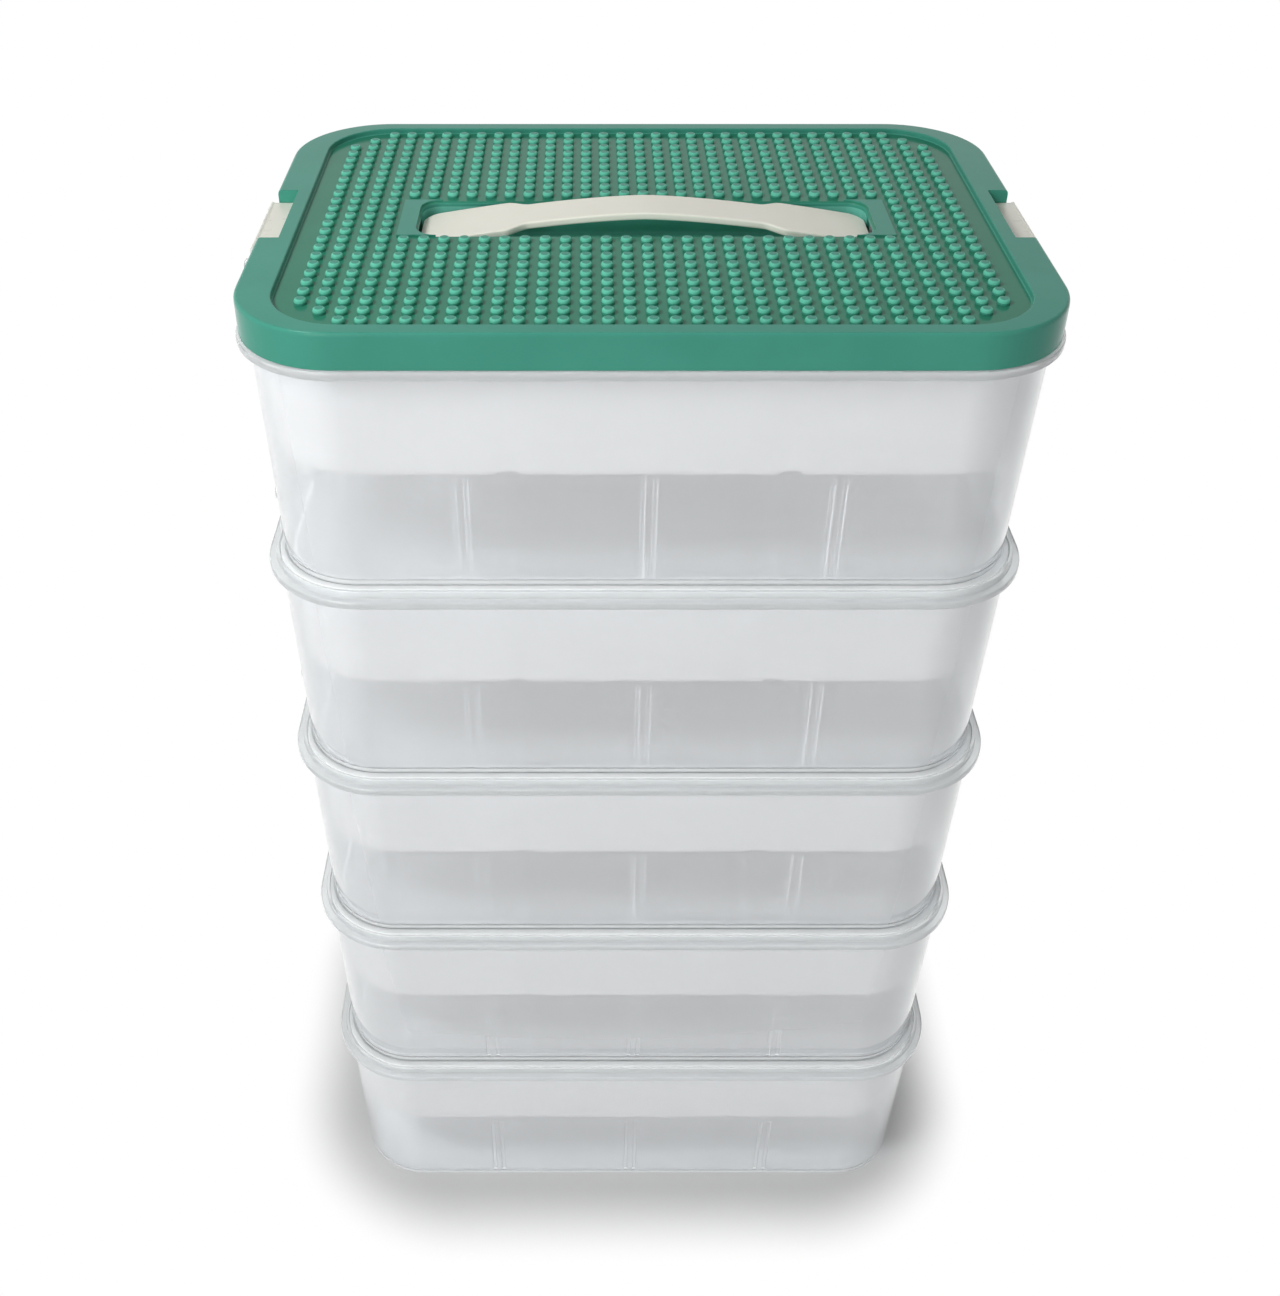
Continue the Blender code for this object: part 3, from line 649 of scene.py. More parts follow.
def milky_places(nodes, links):
    """Three masks, 1 on the foot's outer edge, on the rim and on the ribs, where the box looks cloudy."""
    place, x, y, z = object_place(nodes, links)
    half_x = RIM_HALF_X - BASE_INSET_X - BASE_RADIUS
    half_y = RIM_HALF_Y - BASE_INSET_Y - BASE_RADIUS
    reach = beyond_rectangle(nodes, links, place, half_x, half_y)
    outer = calculated(nodes, links, "GREATER_THAN", reach, BASE_RADIUS - BOX_WALL - BASE_EDGE)
    low = calculated(nodes, links, "LESS_THAN", z, BOX_FLOOR + BASE_EDGE / 2)
    foot = calculated(nodes, links, "MULTIPLY", low, outer)
    rim = calculated(nodes, links, "GREATER_THAN", z, BODY_HEIGHT)
    taper = (BASE_INSET_Y - BODY_TOP_INSET) / BODY_HEIGHT
    lean = calculated(nodes, links, "MULTIPLY", z, taper)
    depth = calculated(nodes, links, "SUBTRACT", calculated(nodes, links, "ABSOLUTE", y), lean)
    face = side_wall_y(0) - BOX_WALL
    near, far = (face - RIB_DEPTH * share for share in RIB_MASK_DEPTH_SHARES)
    inside = between(nodes, links, depth, near, far)
    from_pair = calculated(nodes, links, "PINGPONG", x, RIB_PAIR_SPACING / 2)
    inner_share, outer_share = RIB_MASK_WIDTH_SHARES
    first = (RIB_SPACING - RIB_WIDTH) * inner_share
    last = (RIB_SPACING + RIB_WIDTH) * outer_share
    across = between(nodes, links, from_pair, first, last)
    rib = calculated(nodes, links, "MULTIPLY", inside, across)
    return foot, rim, rib


def clear_plastic():
    """Clear moulded plastic, cloudy where it is thick, that lets lamps' rays straight through."""
    material, shader, nodes, links = shader_of("clear_box")
    set_inputs(shader, CLEAR_INPUTS)
    foot, rim, ribs = milky_places(nodes, links)
    # The rim's tint: its thicker plastic, and painted shade on the top-lit rim
    tinted(nodes, links, shader, rim, CLEAR_COLOUR, RIM_TINT_AND_PAINTED_SHADE)
    # Painted shade where a wall is seen edge-on
    facing = nodes.new("ShaderNodeLayerWeight").outputs["Facing"]
    grazing = calculated(nodes, links, "POWER", facing, GRAZING_POWER)
    inserted_shade(nodes, links, shader, grazing, GRAZING_PAINTED_SHADE)
    through = CLEAR_SHARE
    for place, share in ((foot, FOOT_CLEAR_SHARE), (rim, RIM_CLEAR_SHARE), (ribs, RIB_CLEAR_SHARE)):
        lost = calculated(nodes, links, "MULTIPLY", place, CLEAR_SHARE - share)
        left = calculated(nodes, links, "SUBTRACT", CLEAR_SHARE, lost)
        through = calculated(nodes, links, "MINIMUM", through, left)
    links.new(through, shader.inputs["Transmission Weight"])
    gloss = spread(nodes, links, surface_noise(nodes, links, CLEAR_GLOSS_SCALE), *CLEAR_ROUGHNESS)
    links.new(gloss, shader.inputs["Roughness"])
    wave = surface_noise(nodes, links, WAVE_SCALE, SKIN_DETAIL)
    bumped(nodes, links, shader, wave, WAVE_STRENGTH, WAVE_DEPTH)
    path = nodes.new("ShaderNodeLightPath")
    passing = nodes.new("ShaderNodeBsdfTransparent")
    passing.inputs["Color"].default_value = (*CLEAR_COLOUR, 1)
    shaders = (shader.outputs["BSDF"], passing.outputs["BSDF"])
    mixed_shaders(nodes, links, path.outputs["Is Shadow Ray"], *shaders, "Material Output")
    return material


def paint_stud_field_light_and_shade(material, shader):
    """Painted shade on the floor between the studs, and painted light on the studs' sides and in the pit."""
    nodes = material.node_tree.nodes
    links = material.node_tree.links
    half_x = RIM_HALF_X - LID_INSET - BORDER_SIDE - FIELD_RADIUS
    half_y = RIM_HALF_Y - LID_INSET - BORDER_FRONT - FIELD_RADIUS
    place, _, _, z = object_place(nodes, links)
    reach = beyond_rectangle(nodes, links, place, half_x, half_y)
    field = calculated(nodes, links, "LESS_THAN", reach, FIELD_RADIUS - BORDER_DROP / 4)
    floor = LID_TOP - BORDER_DROP
    low = between(nodes, links, z, floor - LID_PLATE / 4, floor + STUD_HEIGHT * FIELD_HEIGHT_SHARE)
    foot = floor + PAD_HEIGHT * SIDE_FOOT_SHARE
    high = between(nodes, links, z, foot, floor + STUD_HEIGHT * SIDE_TOP_SHARE)
    # Painted shade: the floor between the studs darkened where the studs shade it
    inserted_shade(nodes, links, shader, calculated(nodes, links, "MULTIPLY", field, low), FIELD_PAINTED_SHADE)
    # Painted light and highlight on the studs' sides
    inserted_shade(nodes, links, shader, calculated(nodes, links, "MULTIPLY", field, high), STUD_PAINTED_LIGHT)
    # Painted light in the pit under the handle, which lies in shade
    from_pit = beyond_rectangle(nodes, links, place, PIT_HALF_X, PIT_HALF_Y)
    within = calculated(nodes, links, "LESS_THAN", from_pit, PIT_WALL / 4)
    deep = calculated(nodes, links, "LESS_THAN", z, floor - LID_PLATE)
    inserted_shade(nodes, links, shader, calculated(nodes, links, "MULTIPLY", within, deep), PIT_PAINTED_LIGHT)


def paint_tray_lip_light(material, shader):
    """Painted light on the tray's thin lip, which lies in shade: lighter and a little bluer than the rest."""
    nodes = material.node_tree.nodes
    links = material.node_tree.links
    _, _, _, z = object_place(nodes, links)
    # Painted light on the lip, which lies in shade
    lip = calculated(nodes, links, "GREATER_THAN", z, TRAY_LIP_LOW)
    inserted_shade(nodes, links, shader, lip, LIP_PAINTED_LIGHT)


CLEAR = clear_plastic()
WHITE, white_shader = moulded_plastic("white_tray")
GREEN, green_shader = moulded_plastic("green_lid")
CREAM, _ = moulded_plastic("cream_handle")
BEIGE, _ = moulded_plastic("beige_latch")
paint_stud_field_light_and_shade(GREEN, green_shader)
paint_tray_lip_light(WHITE, white_shader)


# Boxes


def box_body():
    """The tub with its stepped rim, every edge eased."""
    top_radius = RIM_RADIUS - BODY_TOP_INSET
    cap = BOX_CAP_INSET
    wall = BODY_TOP_INSET + BOX_WALL
    floor_x = BASE_INSET_X + BOX_WALL
    floor_y = BASE_INSET_Y + BOX_WALL
    floor_radius = BASE_RADIUS - BOX_WALL
    lip = RIM_RADIUS - LIP_WIDTH
    collar = RIM_RADIUS - COLLAR_INSET
    return moulding(
        [
            (BASE_INSET_X + cap, BASE_INSET_Y + cap, BASE_RADIUS - cap, 0, 0),
            (BASE_INSET_X, BASE_INSET_Y, BASE_RADIUS, 0, BASE_EDGE),
            (BODY_TOP_INSET, BODY_TOP_INSET, top_radius, BODY_HEIGHT, SLIGHT_EASE),
            (0, 0, RIM_RADIUS, BODY_HEIGHT, SOFT_EASE),
            (0, 0, RIM_RADIUS, LIP_TOP, RIM_EDGE),
            (LIP_WIDTH, LIP_WIDTH, lip, LIP_TOP, SMALL_EASE),
            (LIP_WIDTH, LIP_WIDTH, lip, RIM_TOP, SLIGHT_EASE),
            (COLLAR_INSET, COLLAR_INSET, collar, RIM_TOP, SMALL_EASE),
            (COLLAR_INSET, COLLAR_INSET, collar, TRAY_SEAT, FINE_EASE),
            (wall, wall, top_radius - BOX_WALL, TRAY_SEAT, SMALL_EASE),
            (floor_x, floor_y, floor_radius, BOX_FLOOR, BASE_EDGE),
            (floor_x + cap, floor_y + cap, floor_radius - cap, BOX_FLOOR, 0),
        ]
    )


def guide_rib(x, side):
    """One slim rib up the front or back wall, narrower at its crest, fading out at its top."""
    rings = []
    heights = ((BOX_FLOOR / 2, 1), (RIB_TOP - RIB_FADE, 1), (RIB_TOP, RIB_TOP_SHARE))
    for z, share in heights:
        face = side_wall_y(z) - BOX_WALL
        near = face - RIB_DEPTH * share
        far = face + BOX_WALL / 2
        half = RIB_WIDTH / 2
        crest = half * RIB_CREST_SHARE
        ease = RIB_WIDTH * RIB_EASE_SHARE
        corners = (
            (x - crest, near),
            (x + crest, near),
            (x + half, near + ease * share),
            (x + half, far),
            (x - half, far),
            (x - half, near + ease * share),
        )
        rings.append([(place_x, side * place_y, z) for place_x, place_y in corners])
    mesh = loft(rings)
    bmesh.ops.recalc_face_normals(mesh, faces=mesh.faces)
    return mesh


def floor_line(low_x, high_x, low_y, high_y):
    """A low raised line on the box's floor."""
    return block((low_x, low_y, BOX_FLOOR / 2), (high_x, high_y, BOX_FLOOR + FLOOR_LINE_HEIGHT))


def floor_lines():
    """The moulded lines that rule the floor, from wall to wall."""
    half = FLOOR_LINE_WIDTH / 2
    reach_y = RIM_HALF_Y - BASE_INSET_Y - BOX_WALL - BASE_EDGE
    reach_x = RIM_HALF_X - BASE_INSET_X - BOX_WALL - FLOOR_LINE_MARGIN
    lines = [floor_line(x - half, x + half, -reach_y, reach_y) for x in FLOOR_LINES_X]
    lines_across = [floor_line(-reach_x, reach_x, y - half, y + half) for y in FLOOR_LINES_Y]
    return lines, lines_across


def ear_profile():
    """An ear's outline in the XZ plane, round at its top and foot."""
    root_x = RIM_HALF_X - EAR_ROOT
    lid_x = RIM_HALF_X - LID_INSET + EAR_STAND_OFF
    corners = [
        ((root_x, EAR_LOW), 0),
        ((RIM_HALF_X + EAR_STAND_OFF, PIVOT_Z - EAR_REACH), PLAIN_EASE),
        ((PIVOT_X + EAR_REACH, PIVOT_Z - EAR_REACH), EAR_LOW_EDGE),
        ((PIVOT_X + EAR_REACH, PIVOT_Z + EAR_REACH), EAR_HIGH_EDGE),
        ((PIVOT_X + EAR_REACH / 2, EAR_TOP), FULL_EASE),
        ((lid_x, EAR_TOP), PLAIN_EASE),
        ((lid_x, EAR_STEP), 0),
        ((root_x, EAR_STEP), 0),
    ]
    return eased(corners, EAR_EASE_STEPS)


def ears():
    """Two ears a side, one past each end of the latch."""
    spans = ((EAR_NEAR, EAR_FAR), (-EAR_FAR, -EAR_NEAR))
    profiles = (ear_profile(), mirrored(ear_profile()))
    return [extrude_profile(profile, *span, edge=TINY_EASE) for profile in profiles for span in spans]


def box_mesh():
    """The mesh that all boxes share."""
    lines, lines_across = floor_lines()
    pairs = [pair * RIB_PAIR_SPACING + rib * RIB_SPACING / 2 for pair in (-1, 0, 1) for rib in (-1, 1)]
    ribs = [guide_rib(x, side) for x in pairs for side in (-1, 1)]
    inner = NOTCH_X - BLOCK_WALL
    outer = RIM_HALF_X - BASE_INSET_X - BOX_WALL / 2
    half = NOTCH_HALF_Y + BLOCK_WALL
    blocks = both_sides((inner, -half, BOX_FLOOR / 2), (outer, half, POCKET_HIGH + BLOCK_WALL))
    pockets = both_sides((NOTCH_X, -NOTCH_HALF_Y, POCKET_LOW), (RIM_HALF_X, NOTCH_HALF_Y, POCKET_HIGH))
    span = EAR_FAR + OVERRUN
    holes = [extrude_profile(circle(x, PIVOT_Z, PIN_HOLE_RADIUS), -span, span) for x in (PIVOT_X, -PIVOT_X)]
    steps = [
        ("UNION", joined(ribs + ears() + blocks)),
        ("UNION", joined(lines)),
        ("UNION", joined(lines_across)),
        ("DIFFERENCE", joined(pockets + holes)),
    ]
    return finish_mesh(carved("box_form", box_body(), steps), CLEAR)


# Trays


def tray_body():
    """The tray's tub with its stepped lip, every edge eased."""
    cap = TRAY_CAP_INSET
    radius = RIM_RADIUS - TRAY_TOP_INSET
    lip_radius = RIM_RADIUS - TRAY_LIP_INSET
    bead_x = BASE_INSET_X - BEAD_GAP
    bead_y = BASE_INSET_Y - BEAD_GAP
    bead_radius = BASE_RADIUS + BEAD_GAP
    bead_top = RIM_TOP - SEAT_GAP
    inner = TRAY_TOP_INSET + TRAY_WALL
    base = TRAY_BASE_INSET
    floor = base + TRAY_WALL
    return moulding(
        [
            (base + cap, base + cap, radius - cap, TRAY_BASE, 0),
            (base, base, radius, TRAY_BASE, TRAY_EDGE),
            (TRAY_TOP_INSET, TRAY_TOP_INSET, radius, TRAY_LIP_LOW, SMALL_EASE),
            (TRAY_LIP_INSET, TRAY_LIP_INSET, lip_radius, TRAY_LIP_LOW, SMALL_EASE),
            (TRAY_LIP_INSET, TRAY_LIP_INSET, lip_radius, bead_top, FINE_EASE),
            (bead_x, bead_y, bead_radius, bead_top, FINE_EASE),
            (bead_x, bead_y, bead_radius, TRAY_LIP_TOP, TINY_EASE),
            (inner, inner, radius - TRAY_WALL, TRAY_LIP_TOP, SMALL_EASE),
            (floor, floor, radius - TRAY_WALL, TRAY_FLOOR_TOP, TRAY_EDGE),
            (floor + cap, floor + cap, radius - TRAY_WALL - cap, TRAY_FLOOR_TOP, 0),
        ]
    )


def divider_ring(x, width, reach, z):
    """One level of a divider, from the front wall to the back wall."""
    half = width / 2
    return [(x - half, -reach, z), (x + half, -reach, z), (x + half, reach, z), (x - half, reach, z)]


def divider(x, foot, top):
    """A divider from the front wall to the back wall, tapered from its foot, with an eased top."""
    foot_reach = RIM_HALF_Y - TRAY_BASE_INSET - TRAY_WALL / 2 - TRAY_EDGE / 2
    top_reach = RIM_HALF_Y - TRAY_TOP_INSET - TRAY_WALL / 2
    crest = top * DIVIDER_CREST_SHARE
    rings = [divider_ring(x, foot, foot_reach, DIVIDER_ROOT)]
    for below_share, width_share in DIVIDER_TIP_SHARES:
        rings.append(divider_ring(x, top * width_share, top_reach, DIVIDER_TOP - crest * below_share))
    return loft(rings)


def divider_flare(x):
    """The wider foot of a hollow divider, over the rounded notch in the tray's underside."""
    rings = []
    for step in range(FLARE_STEPS + 1):
        share = step / FLARE_STEPS
        width = DIVIDER_FOOT + (FLARE_WIDTH - DIVIDER_FOOT) * (1 - share) ** 2
        reach = RIM_HALF_Y - TRAY_BASE_INSET - TRAY_WALL / 2 - TRAY_EDGE / 2 * (1 - share)
        rings.append(divider_ring(x, width, reach, DIVIDER_ROOT + FLARE_HEIGHT * share))
    return loft(rings)


def groove(x):
    """The hollow of a divider, cut from the tray's underside."""
    low = TRAY_BASE - OVERRUN
    high = TRAY_BASE + GROOVE_HEIGHT
    reach = RIM_HALF_Y - TRAY_BASE_INSET - TRAY_WALL - TRAY_EDGE
    foot = GROOVE_FOOT / 2
    tip = GROOVE_TOP / 2
    profile = ((x - foot, low), (x + foot, low), (x + tip, high), (x - tip, high))
    return extrude_profile(profile, -reach, reach)


def foot_notch(x):
    """The rounded notch across the tray's underside below a divider, open in both walls' feet."""
    profile = []
    for step in range(NOTCH_STEPS + 1):
        angle = math.pi * step / NOTCH_STEPS
        rise = NOTCH_HEIGHT * math.sin(angle) ** NOTCH_POWER
        profile.append((x + NOTCH_WIDTH / 2 * math.cos(angle), TRAY_BASE + rise))
    profile.append((x - NOTCH_WIDTH / 2, TRAY_BASE - OVERRUN))
    profile.append((x + NOTCH_WIDTH / 2, TRAY_BASE - OVERRUN))
    return extrude_profile(profile, -RIM_HALF_Y, RIM_HALF_Y)


def tray_mesh():
    """The mesh that all trays share."""
    sides = (-DIVIDER_OFFSET, DIVIDER_OFFSET)
    walls = [divider(x, DIVIDER_FOOT, DIVIDER_WIDTH) for x in sides]
    walls.append(divider(0, MIDDLE_DIVIDER, MIDDLE_DIVIDER))
    steps = [
        ("UNION", joined(walls)),
        ("UNION", joined([divider_flare(x) for x in sides])),
        ("DIFFERENCE", joined([groove(x) for x in sides])),
        ("DIFFERENCE", joined([foot_notch(x) for x in sides])),
    ]
    return finish_mesh(carved("tray_form", tray_body(), steps), WHITE)


# Lid


def lid_body():
    """The lid from the plate's underside out over the skirt and the border to the stud field."""
    cap = LID_CAP_INSET
    skirt = LID_INSET + SKIRT_WALL
    outer_radius = RIM_RADIUS - LID_INSET
    field_x = LID_INSET + BORDER_SIDE
    field_y = LID_INSET + BORDER_FRONT
    field_z = LID_TOP - BORDER_DROP
    under_x = field_x - LID_PLATE
    under_y = field_y - LID_PLATE
    under_radius = FIELD_RADIUS + LID_PLATE
    under_z = field_z - LID_PLATE
    plate_z = LID_TOP - LID_PLATE
    return moulding(
        [
            (under_x + cap, under_y + cap, under_radius - cap, under_z, 0),
            (under_x, under_y, under_radius, under_z, SMALL_EASE),
            (under_x, under_y, under_radius, plate_z, SMALL_EASE),
            (skirt, skirt, RIM_RADIUS - skirt, plate_z, FULL_EASE),
            (skirt, skirt, RIM_RADIUS - skirt, LID_BOTTOM, HAIR_EASE),
            (LID_INSET, LID_INSET, outer_radius, LID_BOTTOM, TINY_EASE),
            (LID_INSET, LID_INSET, outer_radius, LID_TOP, LID_EDGE),
            (field_x, field_y, FIELD_RADIUS, LID_TOP, PLAIN_EASE),
            (field_x, field_y, FIELD_RADIUS, field_z, SMALL_EASE),
            (field_x + cap, field_y + cap, FIELD_RADIUS - cap, field_z, 0),
        ]
    )


def stud_places():
    """The centre of every stud: a grid with three missing at each corner and a gap for the pit."""
    places = []
    half_columns = STUD_COLUMNS // 2
    half_rows = STUD_ROWS // 2
    for row in range(-half_rows, half_rows + 1):
        for column in range(-half_columns, half_columns + 1):
            from_corner = (half_columns - abs(column)) + (half_rows - abs(row))
            over_pit = abs(row) <= PIT_ROWS and abs(column) <= PIT_COLUMNS
            if from_corner >= CORNER_STUDS and not over_pit:
                places.append((column * STUD_PITCH, row * STUD_PITCH))
    return places


def studs():
    """All studs, each a low round boss with an eased top, rooted in the lid's plate."""
    root = -LID_PLATE / 4
    draft = STUD_RADIUS * STUD_DRAFT_SHARE
    corners = [
        ((STUD_RADIUS + draft, root), 0),
        ((STUD_RADIUS - draft, STUD_HEIGHT), STUD_EDGE),
        ((0, STUD_HEIGHT), 0),
    ]
    path = eased(corners, STUD_EASE_STEPS)[:-1]
    turns = [2 * math.pi * step / STUD_STEPS for step in range(STUD_STEPS)]
    around = [(math.cos(turn), math.sin(turn)) for turn in turns]
    floor = LID_TOP - BORDER_DROP
    mesh = bmesh.new()
    for x, y in stud_places():
        rings = [[(x + radius * c, y + radius * s, floor + z) for c, s in around] for radius, z in path]
        add_rings(mesh, rings)
    return mesh


def lid_additions():
    """The pit's tub with the blocks round the latches' notches, and the pads beside the pit."""
    field_z = LID_TOP - BORDER_DROP
    root = field_z - LID_PLATE / 2
    tub_low = LID_TOP - PIT_DEPTH - LID_PLATE
    tub = pillar(
        PIT_HALF_X + PIT_WALL,
        PIT_HALF_Y + PIT_WALL,
        PIT_RADIUS + PIT_WALL,
        [(-TUB_CAP_INSET, tub_low, 0), (0, tub_low, TUB_EDGE), (0, root, 0)],
    )
    block_outer = RIM_HALF_X - LID_INSET - SKIRT_WALL / 2
    block_low = (NOTCH_X - BLOCK_WALL, -NOTCH_HALF_Y - BLOCK_WALL, RIM_TOP + SEAT_GAP)
    block_high = (block_outer, NOTCH_HALF_Y + BLOCK_WALL, LID_TOP - LID_PLATE / 2)
    pad_low = (PIT_HALF_X - PIT_RADIUS, -PAD_HALF_Y, root)
    pad_high = (PAD_REACH, PAD_HALF_Y, field_z + PAD_HEIGHT)
    return joined([tub, *both_sides(block_low, block_high)]), joined(both_sides(pad_low, pad_high))


def lid_cuts():
    """The pit with the seats of the latches' hooks, and the steps beside them with the tongues' windows."""
    field_z = LID_TOP - BORDER_DROP
    pit_floor = LID_TOP - PIT_DEPTH
    pit = pillar(
        PIT_HALF_X,
        PIT_HALF_Y,
        PIT_RADIUS,
        [
            (-PIT_CAP_INSET, pit_floor, 0),
            (0, pit_floor, PIT_EDGE),
            (0, field_z - PIT_LIP, PIT_LIP),
            (PIT_LIP, field_z, 0),
            (PIT_LIP, field_z + PAD_HEIGHT + OVERRUN, 0),
        ],
        PIT_STEPS,
    )
    beyond = RIM_HALF_X + 2 * OVERRUN
    above = LID_TOP + OVERRUN
    seats = both_sides((NOTCH_X, -NOTCH_HALF_Y, LATCH_SEAT), (beyond, NOTCH_HALF_Y, above))
    step_low = (NOTCH_STEP_X, -NOTCH_HALF_Y, NOTCH_STEP_Z)
    steps_down = both_sides(step_low, (beyond + OVERRUN, NOTCH_HALF_Y, above + OVERRUN))
    half = TONGUE_HALF_Y + TONGUE_GAP
    window_low = (PIT_HALF_X - OVERRUN, -half, pit_floor)
    window_high = (PIT_HALF_X + PIT_WALL + OVERRUN, half, field_z - LID_PLATE)
    return joined([pit, *seats]), joined(steps_down + both_sides(window_low, window_high))


def lid_mesh():
    """The lid with its pit, its notches and its studs."""
    tub_and_blocks, pads = lid_additions()
    pit_and_seats, steps_and_windows = lid_cuts()
    steps = [
        ("UNION", tub_and_blocks),
        ("UNION", pads),
        ("DIFFERENCE", pit_and_seats),
        ("DIFFERENCE", steps_and_windows),
    ]
    plate = carved("lid_plate", lid_body(), steps)
    whole = bmesh.new()
    whole.from_mesh(plate)
    bpy.data.meshes.remove(plate)
    data = bpy.data.meshes.new("lid_form")
    joined([whole, studs()]).to_mesh(data)
    return finish_mesh(data, GREEN)


# Handle


def handle_height(x):
    """The top of the strap at this place along it, measured from the lid's top."""
    return HANDLE_RISE - HANDLE_SAG * (abs(x) / HANDLE_HALF) ** SAG_POWER


def handle_half_width(x):
    """Half the strap's width: narrow along the arch, wide at its lugs, rounded at its ends."""
    distance = abs(x)
    end = HANDLE_HALF - distance
    if end < LUG_RADIUS:
        corner = LUG_RADIUS - end
        return LUG_HALF_Y - LUG_RADIUS + math.sqrt(max(LUG_RADIUS**2 - corner**2, 0))
    share = (distance - NECK_INNER) / (NECK_OUTER - NECK_INNER)
    share = min(max(share, 0), 1)
    blend = share * share * (3 - 2 * share)
    return ARCH_HALF_Y + (LUG_HALF_Y - ARCH_HALF_Y) * blend


def strap_section(x, shrink):
    """The strap's outline across X with eased edges, drawn in by shrink."""
    half = handle_half_width(x) - shrink
    top = handle_height(x) - shrink
    low = handle_height(x) - HANDLE_THICKNESS + shrink
    corners = [(-half, low), (half, low), (half, top), (-half, top)]
    doubled = [corners[-1], *corners, corners[0]]
    path = eased([(point, HANDLE_EDGE) for point in doubled])[1:-1]
    return [(x, point[0], point[1]) for point in path]


def strap_stations():
    """Places along the strap, with how far its section is drawn in there."""
    arch = [NECK_INNER * step / ARCH_STEPS for step in range(ARCH_STEPS + 1)]
    neck = [NECK_INNER + (NECK_OUTER - NECK_INNER) * step / NECK_STEPS for step in range(1, NECK_STEPS + 1)]
    straight = HANDLE_HALF - LUG_RADIUS - NECK_OUTER
    lug = [NECK_OUTER + straight * step / LUG_STEPS for step in range(1, LUG_STEPS + 1)]
    turns = [math.pi / 2 * step / LUG_STEPS for step in range(1, LUG_STEPS)]
    corner = [HANDLE_HALF - LUG_RADIUS * (1 - math.sin(angle)) for angle in turns]
    half = [(x, 0) for x in arch + neck + lug + corner]
    half += [(HANDLE_HALF - back, shrink) for back, shrink in HANDLE_TIPS]
    return [(-x, shrink) for x, shrink in reversed(half[1:])] + half


def handle_mesh():
    """The arched strap with its two legs."""
    strap = loft([strap_section(x, shrink) for x, shrink in strap_stations()])
    bmesh.ops.recalc_face_normals(strap, faces=strap.faces)
    foot = -PIT_DEPTH + SEAT_GAP
    inner = HANDLE_HALF - LEG_LENGTH
    outer = PIT_HALF_X + PIT_WALL + TONGUE_REACH
    face = HANDLE_HALF - LEG_SET_BACK
    profile = [
        (inner, foot),
        (outer, foot),
        (outer, foot + TONGUE_THICKNESS),
        (face, foot + TONGUE_THICKNESS),
        (face, handle_height(HANDLE_HALF) - HANDLE_THICKNESS / 2),
        (inner, handle_height(inner) - HANDLE_THICKNESS / 2),
    ]
    legs = [extrude_profile(shape, -TONGUE_HALF_Y, TONGUE_HALF_Y) for shape in (profile, mirrored(profile))]
    return finish_mesh(carved("handle_form", strap, [("UNION", joined(legs))]), CREAM)


# Latches


def latch_mesh():
    """The latch on the right, about its pivot: barrel, outer wall, hook and pins."""
    inner = LATCH_INNER - PIVOT_X
    outer = LATCH_OUTER - PIVOT_X
    tip = LATCH_TIP - PIVOT_X
    low = LATCH_SEAT + SEAT_GAP - PIVOT_Z
    high = low + LATCH_PLATE
    ridge = high + LATCH_RIDGE
    corners = [
        ((inner, BARREL_RADIUS / 2), 0),
        ((inner, low), FINE_EASE),
        ((tip, low), SMALL_EASE),
        ((tip, high), SLIGHT_EASE),
        ((inner, high), TINY_EASE),
        ((inner + RIDGE_START, ridge), TINY_EASE),
        ((outer, ridge), SOFT_EASE),
        ((outer, BARREL_RADIUS), SMALL_EASE),
    ]
    profile = eased(corners)
    turns = [math.radians(turn) for turn in BARREL_TURNS]
    profile += [(BARREL_RADIUS * math.cos(turn), BARREL_RADIUS * math.sin(turn)) for turn in turns]
    body = extrude_profile(profile, -LATCH_HALF_Y, LATCH_HALF_Y)
    pin = extrude_profile(circle(0, 0, PIN_RADIUS), -PIN_END_Y, PIN_END_Y, edge=TINY_EASE)
    return finish_mesh(carved("latch_form", body, [("UNION", pin)]), BEIGE)


def build_pieces():
    """Every shown piece, in place of its solid."""
    box = box_mesh()
    tray = tray_mesh()
    latch = latch_mesh()
    for number in range(1, BOX_COUNT + 1):
        base = (number - 1) * TIER_PITCH
        piece(f"clear_box_{number}", box, f"box_{number}", z=base)
        piece(f"sorting_tray_{number}", tray, f"tray_{number}", z=base)
        for side, sign, turn in (("right", 1, 0), ("left", -1, math.pi)):
            name = f"latch_{number}_{side}"
            piece(f"side_{name}", latch, name, sign * PIVOT_X, base + PIVOT_Z, turn)
    top = (BOX_COUNT - 1) * TIER_PITCH
    piece("studded_lid", lid_mesh(), "lid", z=top)
    piece("carry_handle", handle_mesh(), "handle", z=top + LID_TOP)


# Stage, light and camera


def looking(nodes, links):
    """1 for the rays that look at a surface: from the camera, off gloss and through clear plastic."""
    path = nodes.new("ShaderNodeLightPath")
    value = path.outputs["Is Camera Ray"]
    for kind in ("Is Glossy Ray", "Is Transmission Ray"):
        value = calculated(nodes, links, "MAXIMUM", value, path.outputs[kind])
    return value


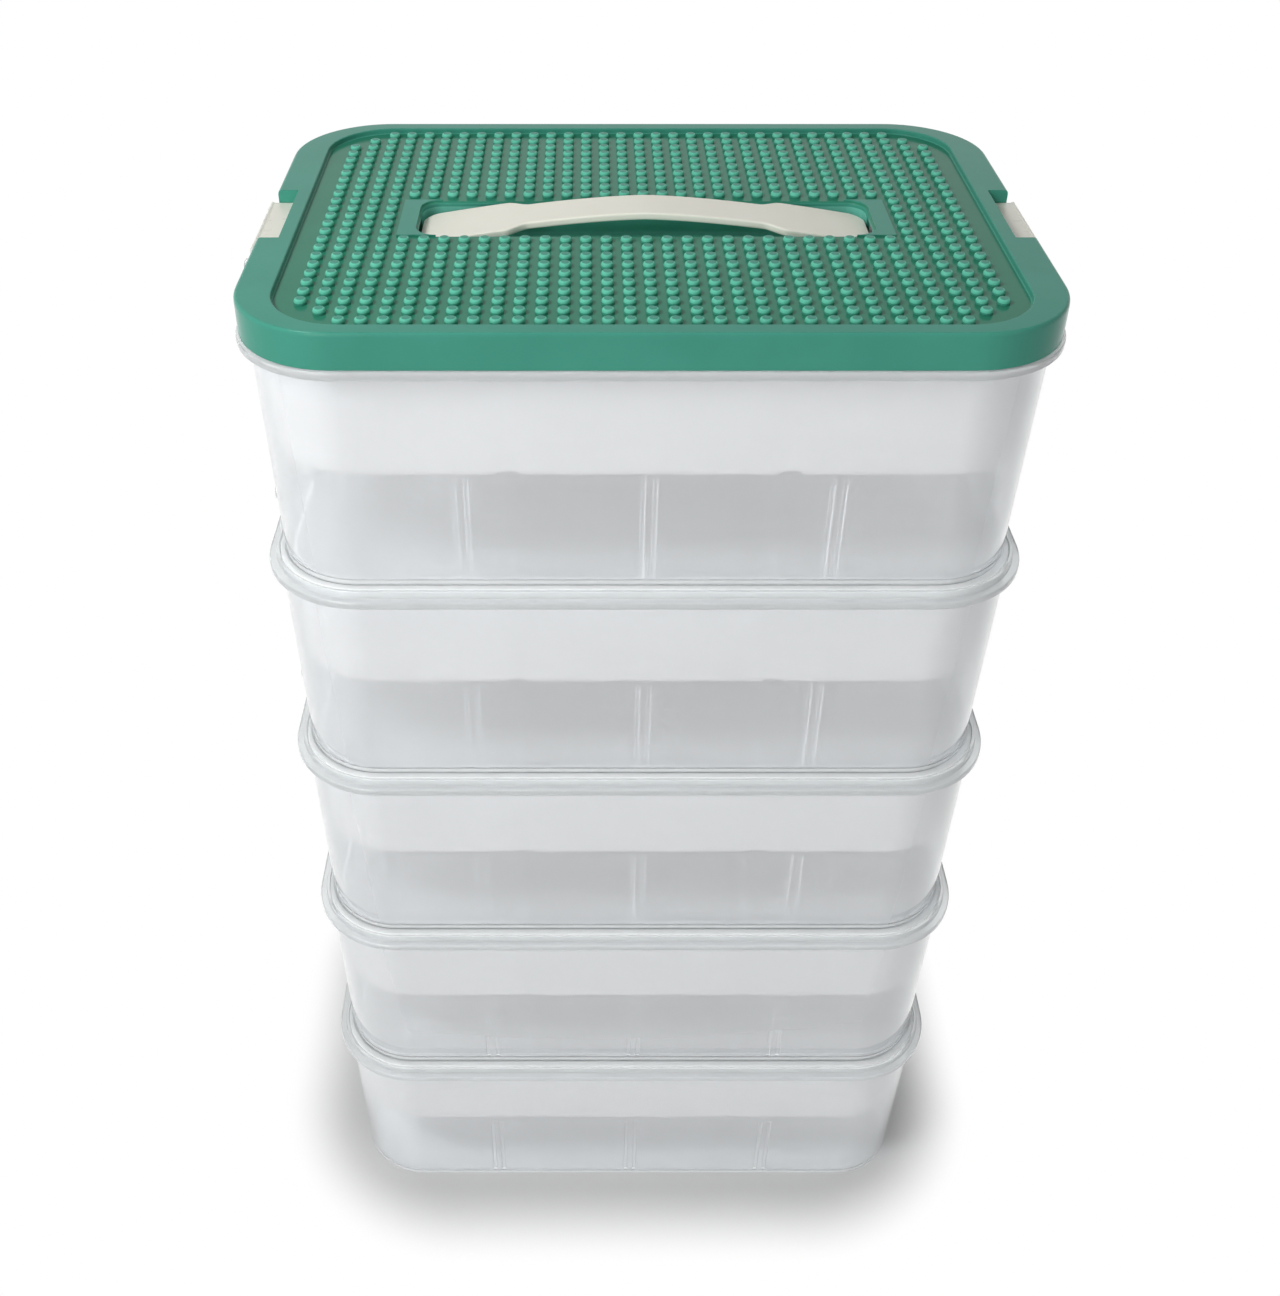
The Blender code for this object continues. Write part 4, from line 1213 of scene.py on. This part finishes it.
def build_floor():
    """A pale floor that fades to white away from the object and keeps its shadow; near the outline its grey
    is painted shadow too.
    """
    mesh = bmesh.new()
    bmesh.ops.create_circle(mesh, cap_ends=True, segments=FLOOR_SEGMENTS, radius=FLOOR_RADIUS)
    data = bpy.data.meshes.new("floor")
    mesh.to_mesh(data)
    mesh.free()
    floor = bpy.data.objects.new("floor", data)
    floor.location.z = -FLOOR_DROP
    bpy.context.scene.collection.objects.link(floor)
    material, shader, nodes, links = shader_of("pale_floor")
    set_inputs(shader, FLOOR_INPUTS)
    place = nodes.new("ShaderNodeTexCoord").outputs["Object"]
    # Painted shadow: the grey floor near the stack's outline, fading to white away from it
    reach = beyond_rectangle(nodes, links, place, RIM_HALF_X - FADE_RADIUS, RIM_HALF_Y - FADE_RADIUS)
    fade = nodes.new("ShaderNodeMapRange")
    fade.interpolation_type = "SMOOTHSTEP"
    fade.inputs["From Min"].default_value = FADE_RADIUS + FADE_START
    fade.inputs["From Max"].default_value = FADE_RADIUS + FADE_END
    links.new(reach, fade.inputs["Value"])
    glow = nodes.new("ShaderNodeEmission")
    seen = calculated(nodes, links, "MULTIPLY", looking(nodes, links), fade.outputs["Result"])
    shaders = (shader.outputs["BSDF"], glow.outputs["Emission"])
    mixed_shaders(nodes, links, seen, *shaders, "Material Output")
    data.materials.append(material)


def build_world():
    """Even light from all round, with a white background for what looks at it."""
    world = bpy.data.worlds.new("studio")
    bpy.context.scene.world = world
    world.use_nodes = True
    nodes = world.node_tree.nodes
    links = world.node_tree.links
    light = nodes["Background"]
    light.inputs["Color"].default_value = WORLD_COLOUR
    light.inputs["Strength"].default_value = WORLD_STRENGTH
    white = nodes.new("ShaderNodeBackground")
    white.inputs["Color"].default_value = (1, 1, 1, 1)
    shaders = (light.outputs["Background"], white.outputs["Background"])
    mixed_shaders(nodes, links, looking(nodes, links), *shaders, "World Output")


def add_lamp(name, place, target, size, power):
    """A soft square lamp that looks at a point."""
    data = bpy.data.lights.new(name, "AREA")
    data.size = size
    data.energy = power
    lamp = bpy.data.objects.new(name, data)
    lamp.location = place
    lamp.rotation_euler = (Vector(target) - Vector(place)).to_track_quat("-Z", "Y").to_euler()
    bpy.context.scene.collection.objects.link(lamp)


def build_lamps():
    """A wide key from the front left, a small lamp over the lid's left, a weak fill and a weak lamp above."""
    for name, place, target, size, power in LAMPS:
        add_lamp(name, place, target, size, power)


def build_camera():
    """The photograph's viewpoint: close, above the lid and a little to the left."""
    data = bpy.data.cameras.new("camera")
    camera = bpy.data.objects.new("camera", data)
    bpy.context.scene.collection.objects.link(camera)
    data.sensor_width = SENSOR_WIDTH
    data.lens = SENSOR_WIDTH * LENS_SHARE
    data.shift_x = CAMERA_SHIFT_X
    data.shift_y = CAMERA_SHIFT_Y
    data.clip_start = CLIP_NEAR
    data.clip_end = CLIP_FAR
    camera.location = CAMERA_PLACE
    camera.rotation_euler = (math.radians(90) - CAMERA_DIP, 0, 0)
    bpy.context.scene.camera = camera


build_pieces()
build_floor()
build_world()
build_lamps()
build_camera()
bpy.context.scene.view_settings.view_transform = "Standard"
